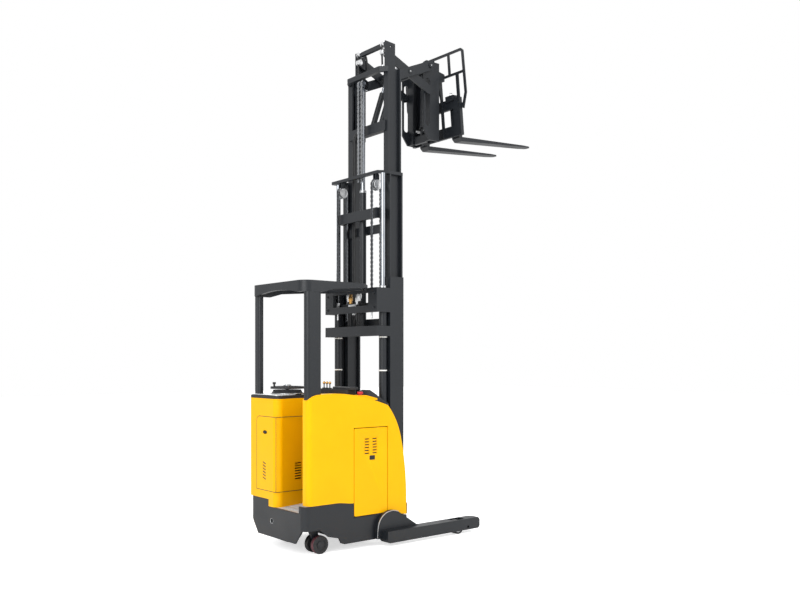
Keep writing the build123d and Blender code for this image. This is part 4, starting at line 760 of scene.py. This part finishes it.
bpy.ops.object.shade_smooth_by_angle(angle=math.radians(32))
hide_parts("service_door")
hood = start("cube", size=1, location=(0, 0, 0), scale=(louvre_long + 0.004, 0.0036, 0.008))
pick_faces(hood, lambda place, normal: normal.y < -0.9)
bpy.ops.mesh.inset(thickness=0.002)
bpy.ops.transform.translate(value=(0, -0.001, -0.001))
finish(hood, "louvre_hood_1", yellow_paint, "service_door", 0.0008, 2)
for index, (x, z) in reversed(list(enumerate(louvre_places))):
    other = hood
    if index:
        other = hood.copy()
        other.data = hood.data.copy()
        bpy.context.collection.objects.link(other)
        other.name = "louvre_hood_%d" % (index + 1)
        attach(other, "service_door")
    place = (x, door_low[1] + 0.0002, z + louvre_high * 0.5 + 0.003)
    other.data.transform(Matrix.Translation(place))
# black filter pad behind the louvres, which is also painted shade in the slots
pad = block((rear + 0.59, door_low[1] + 0.0095, 0.77), (rear + 0.755, door_high[1], 0.93))
pick_faces(pad, lambda place, normal: normal.y < -0.9)
raised(0.006, -0.001)
finish(pad, "door_filter_painted_shade", black_abs, "service_door", 0.001)
latch_at = (rear + 0.685, door_low[1] + 0.0005, 0.752)
latch = start("cube", size=1, location=latch_at, scale=(0.055, 0.005, 0.036))
pick_faces(latch, lambda place, normal: normal.y < -0.9)
raised(0.006, -0.002)
raised(0.004, 0.003)
finish(latch, "door_latch", black_abs, "service_door", 0.0008)

# Cylinder ends: each barrel closes with a turned and chamfered gland nut, bright, with a
# dark wiper ring round the rod. The free lift's is a collar on its barrel.
black_rubber = tread("black nitrile rubber", "17181A")
lift_x = rear + 0.875
lift_y = 0.32995


def band_round(name, middle, radius, height, wall, material, body, slot, rounding):
    """A ring about an upright cylinder."""
    shape = {"vertices": 48, "radius": radius, "depth": height}
    piece = start("cylinder", location=middle, **shape)
    hollow(piece, "z", wall)
    finish(piece, name, material, body, rounding)


gland_radius, rod_radius, gland_height, gland_z = 0.033, 0.0205, 0.03, 2.206
gland_wall = gland_radius - rod_radius - 0.004
for side, s in sides:
    name = "lift_gland_" + side
    middle = (lift_x, s * lift_y, gland_z)
    shape = (gland_radius, gland_height, gland_wall)
    band_round(name, middle, *shape, turned_steel, "chassis", "steel", 0.0025)
    wiper = start(
        "torus",
        location=(lift_x, s * lift_y, gland_z + gland_height / 2),
        major_radius=rod_radius + 0.0035,
        minor_radius=0.0034,
        major_segments=40,
        minor_segments=10,
    )
    finish(wiper, name + "_wiper", black_rubber, "chassis")
middle = (rear + 0.910, 0, 3.0875)
shape = (0.0315, 0.022, 0.0035)
band_round("free_gland", middle, *shape, turned_steel, "inner_stage", "steel", 0.001)

# Nylon ties: white straps pulled tight round each lift cylinder, two on each.
white_nylon = powder_coat("white moulded nylon", "F2F2EE", 0.45, 4, 0.05)
for side, s in sides:
    for level, height in (("low", 1.485), ("high", 1.775)):
        name = "tie_%s_%s" % (side, level)
        middle = (lift_x, s * lift_y, height)
        shape = (0.0368, 0.011, 0.0022)
        band_round(name, middle, *shape, white_nylon, "chassis", "floor_plate", 0.0005)


# Hydraulic lines of the mast: black rubber hoses and steel pipes with hexagon unions, held
# all the way by the stage that they belong to, so that they move as one with it.
def spot(x, y, z):
    """A place given in millimetres from the truck's rear, its middle and the floor."""
    return Vector((rear + x / 1000, y / 1000, z / 1000))


def hose(name, places, radius, material, body):
    """A tube along a smooth line through the given places, closed at both ends."""
    bpy.ops.object.select_all(action="DESELECT")
    bpy.ops.curve.primitive_nurbs_path_add(location=(0, 0, 0))
    line = bpy.context.object
    line.data.splines.clear()
    spline = line.data.splines.new("NURBS")
    spline.points.add(len(places) - 1)
    for point, place in zip(spline.points, places):
        point.co = (*spot(*place), 1)
    spline.order_u = 3
    spline.use_endpoint_u = True
    spline.resolution_u = 8
    line.data.dimensions = "3D"
    line.data.bevel_depth = radius
    line.data.bevel_resolution = 3
    line.data.use_fill_caps = True
    bpy.ops.object.convert(target="MESH")
    bpy.ops.object.mode_set(mode="EDIT")
    bpy.ops.mesh.select_all(action="SELECT")
    bpy.ops.mesh.normals_make_consistent(inside=False)
    finish(line, name, material, body)


def union(name, place, radius, height, material, body, axis="z"):
    """A hexagon union with a round collar at each end, on a pipe or hose."""
    shape = {"vertices": 6, "radius": radius * 1.15, "depth": height * 0.45}
    rotation = {"x": lengthways, "z": (0, 0, 0)}[axis]
    nut = start("cylinder", location=spot(*place), rotation=rotation, **shape)
    index = "xyz".index(axis)
    pick_faces(nut, lambda middle, normal: abs(normal[index]) > 0.9)
    bpy.ops.mesh.inset(thickness=radius * 0.3, use_individual=True)
    bpy.ops.mesh.extrude_faces_move(TRANSFORM_OT_shrink_fatten={"value": height * 0.28})
    finish(nut, name, material, body, radius * 0.06)


hose_radius = 0.0085
for number, y in enumerate((150, 172), 1):
    places = [(953, y, 1846), (938, y, 1880), (928, y, 1960), (928, y, 2700)]
    places += [(928, y, 3540), (936, y, 3610), (953, y, 3646)]
    hose("mast_hose_%d" % number, places, hose_radius, black_rubber, "inner_stage")
    name = "mast_hose_end_%d" % number
    union(name, (928, y, 2010), 0.012, 0.05, zinc_steel, "inner_stage")
# Mounting frame's lines: four unions on a valve block, a rubber hose down and a pipe up.
x = 797
union_finishes = (zinc_steel, brass, zinc_steel, zinc_steel)
union_places = ((62, 2140), (34, 2120), (-66, 2110), (-94, 2140))
for number, (material, (y, z)) in enumerate(zip(union_finishes, union_places), 1):
    union("mount_union_%d" % number, (x, y, z), 0.017, 0.085, material, "chassis")
    places = [(x, y, z - 18), (x, y, z - 60), (x, y + 4, z - 130)]
    places += [(x + 4, y + 8, z - 200), (x + 4, y + 8, 1845)]
    hose("mount_pipe_%d" % number, places, 0.0075, black_rubber, "chassis")
    places = [(x, y, z + 18), (x, y, z + 34), (x - 4, y * 1.1, z + 46)]
    places += [(x - 4, y * 1.3, z + 56), (x - 4, y * 1.5, z + 58)]
    hose("mount_line_%d" % number, places, 0.005, zinc_steel, "chassis")
valve = start("cube", size=1, location=(rear + 0.802, 0.0, 2.045), scale=(0.036, 0.11, 0.05))
pick_faces(valve, lambda place, normal: normal.x < -0.9)
raised(0.008, 0.004)
finish(valve, "mast_valve_block", zinc_steel, "chassis", 0.002)


# Scissor pins: hardened pins through the arms, each closed by a round retaining plate with a
# hexagon screw in its middle.
def bolt(name, middle, size, body, axis="y", out=1, material=turned_steel):
    """A hexagon bolt head on a washer, standing out of a face along an axis."""
    turn = {"x": lengthways, "y": across}[axis]
    step = Vector([out if letter == axis else 0 for letter in "xyz"])
    middle = Vector(middle)
    washer = {"vertices": 24, "radius": size, "depth": size * 0.3}
    piece = start("cylinder", location=middle + step * size * 0.1, rotation=turn, **washer)
    bpy.ops.mesh.primitive_cylinder_add(
        vertices=6,
        radius=size * 0.82,
        depth=size * 0.9,
        location=middle + step * size * 0.45,
        rotation=turn,
    )
    finish(piece, name, material, body, size * 0.08)


arm_pins = (
    ("pivot", (1.045, 4.314), 0.186, "inner_arms"),
    ("cross", (1.295, 4.2054), 0.206, "outer_arms"),
    ("front", (1.545, 4.314), 0.211, "reach_frame"),
)
for name, (x, z), y, body in arm_pins:
    for side, s in sides:
        at = Vector((rear + x, s * y, z))
        shape = {"vertices": 40, "radius": 0.024, "depth": 0.005}
        cap = start("cylinder", location=at, rotation=across, **shape)
        pick_faces(cap, lambda place, normal: normal.y * s > 0.9)
        raised(0.005, -0.0012)
        finish(cap, "%s_pin_plate_%s" % (name, side), dark_paint, body, 0.0006)
        bolt("%s_pin_bolt_%s" % (name, side), at + Vector((0, s * 0.002, 0)), 0.008, body, "y", s)

# Bolted joints: hexagon screws painted over with the mast, at the mounting frame's corners.
screw_places = [(rear + 0.7655, y, z) for y in (-0.345, 0.345) for z in (2.03, 2.15)]
for number, place in enumerate(screw_places, 1):
    bolt("mount_screw_%d" % number, place, 0.011, "chassis", "x", -1, dark_paint)

# Chain anchors: forged clevis ends at the rear falls of the mast chains, each on a threaded
# rod with two nuts, zinc plated.
for side, s in sides:
    clevis_at = Vector((rear + 0.813, s * chain_y, 2.068))
    clevis = start("cube", size=1, location=clevis_at, scale=(0.02, 0.03, 0.055))
    pick_faces(clevis, lambda place, normal: normal.z < -0.9)
    raised(0.004, 0.012)
    finish(clevis, "chain_clevis_" + side, zinc_steel, "middle_stage", 0.003, 3)
    rod_at = clevis_at - Vector((0, 0, 0.083))
    rod = start("cylinder", vertices=20, radius=0.0075, depth=0.09, location=rod_at)
    pick_faces(rod, lambda place, normal: normal.z < -0.9)
    raised(0.0015, 0.0015)
    finish(rod, "chain_rod_" + side, zinc_steel, "middle_stage")
    for level, drop in (("upper", 0.055), ("lower", 0.07)):
        name = "chain_nut_%s_%s" % (side, level)
        nut_at = clevis_at - Vector((0, 0, drop))
        nut = start("cylinder", vertices=6, radius=0.0145, depth=0.012, location=nut_at)
        finish(nut, name, zinc_steel, "middle_stage", 0.0014)

# Wing beads: a half-round steel bead welded along each leg wing's curved edge; its bright steel is
# a painted highlight along that edge.
wing_arc = ((712, 70), (712, 150), (733, 216), (765, 252))
wing_arc += ((804, 277), (846, 286), (892, 289), (937, 274))
for side, s in sides:
    places = [(x, s * 463.5, z) for x, z in wing_arc]
    hose("wing_bead_" + side, places, 0.0042, turned_steel, "chassis")

# Cowl seal: a soft rubber strip that closes the joint between the corner cowl's lip and the
# side panel's edge.
seal = block((rear + 0.73, -0.4085, 1.205), (rear + 0.81, -0.396, 1.243))
pick_faces(seal, lambda place, normal: normal.z > 0.9)
raised(0.003, 0.003)
finish(seal, "cowl_seal", black_rubber, "chassis", 0.002)

# Carriage top: hose pulleys at the head of each side plate, turned and zinc plated, with a
# raised face and a dished middle, and the hose that each pair leads over to the scissor.
pulley_sizes = (("upper", (1.012, 4.392, 0.03)), ("lower", (1.0, 4.318, 0.026)))
pulley_y = 0.176
for side, s in sides:
    for level, (x, z, radius) in pulley_sizes:
        name = "hose_pulley_%s_%s" % (side, level)
        at = (rear + x, s * pulley_y, z)
        shape = {"vertices": 40, "radius": radius, "depth": 0.04}
        pulley = start("cylinder", location=at, rotation=across, **shape)
        pick_faces(pulley, lambda place, normal: abs(normal.y) > 0.9)
        for wall, step in ((radius * 0.3, 0.004), (radius * 0.25, -0.002)):
            bpy.ops.mesh.inset(thickness=wall, use_individual=True)
            bpy.ops.mesh.extrude_faces_move(TRANSFORM_OT_shrink_fatten={"value": step})
        finish(pulley, name, zinc_steel, "carriage", 0.0015)
    y = s * pulley_y * 1000
    places = [(992, y, 4180), (988, y, 4290), (984, y, 4372), (1003, y, 4420), (1040, y, 4420)]
    places += [(1072, y - s * 8, 4396), (1080, y - s * 16, 4330), (1082, y - s * 16, 4230)]
    hose("carriage_hose_" + side, places, hose_radius, black_rubber, "carriage")
    name = "carriage_hose_end_" + side
    union(name, (992, y, 4178), 0.0125, 0.05, zinc_steel, "carriage")

# Tilt cylinder: two rubber hoses drop from its ports to unions in the reach frame's foot.
for number, y in enumerate((-52, 52), 1):
    places = [(1690, y * 0.5, 4010), (1668, y, 4010), (1650, y, 3970), (1648, y, 3900)]
    places += [(1640, y, 3800), (1620, y, 3760)]
    hose("tilt_hose_%d" % number, places, 0.0075, black_rubber, "reach_frame")
    name = "tilt_hose_end_%d" % number
    union(name, (1612, y, 3757), 0.012, 0.045, zinc_steel, "reach_frame", "x")

# Towing eye: a turned steel ring pressed into the rear of the skirt; its bright steel paints the
# highlight round the hole.
socket = start(
    "torus",
    location=(rear + 0.0032, 0.070, 0.227),
    rotation=lengthways,
    major_radius=0.0215,
    minor_radius=0.003,
    major_segments=48,
    minor_segments=12,
)
pick_faces(socket, lambda place, normal: normal.x > 0.5)
bpy.ops.mesh.extrude_region_move(TRANSFORM_OT_translate={"value": (0.004, 0, 0)})
finish(socket, "towing_ring_painted_highlight", turned_steel, "chassis")

# Fork pins: a zinc plated spring pin with a round knob stands on each fork's top hook.
fork_low, fork_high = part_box("fork_right")
fork_y = 0.231
for side, s in sides:
    top = Vector((fork_low[0] + 0.028, s * fork_y, fork_high[2] - 0.004))
    knob = start("cylinder", vertices=32, radius=0.013, depth=0.02, location=top)
    pick_faces(knob, lambda place, normal: normal.z > 0.9)
    raised(0.003, 0.01)
    bpy.ops.mesh.extrude_region_shrink_fatten(TRANSFORM_OT_shrink_fatten={"value": 0.006})
    bpy.ops.transform.resize(value=(1.5, 1.5, 1), center_override=top)
    finish(knob, "fork_pin_" + side, zinc_steel, "fork_carriage", 0.0012)
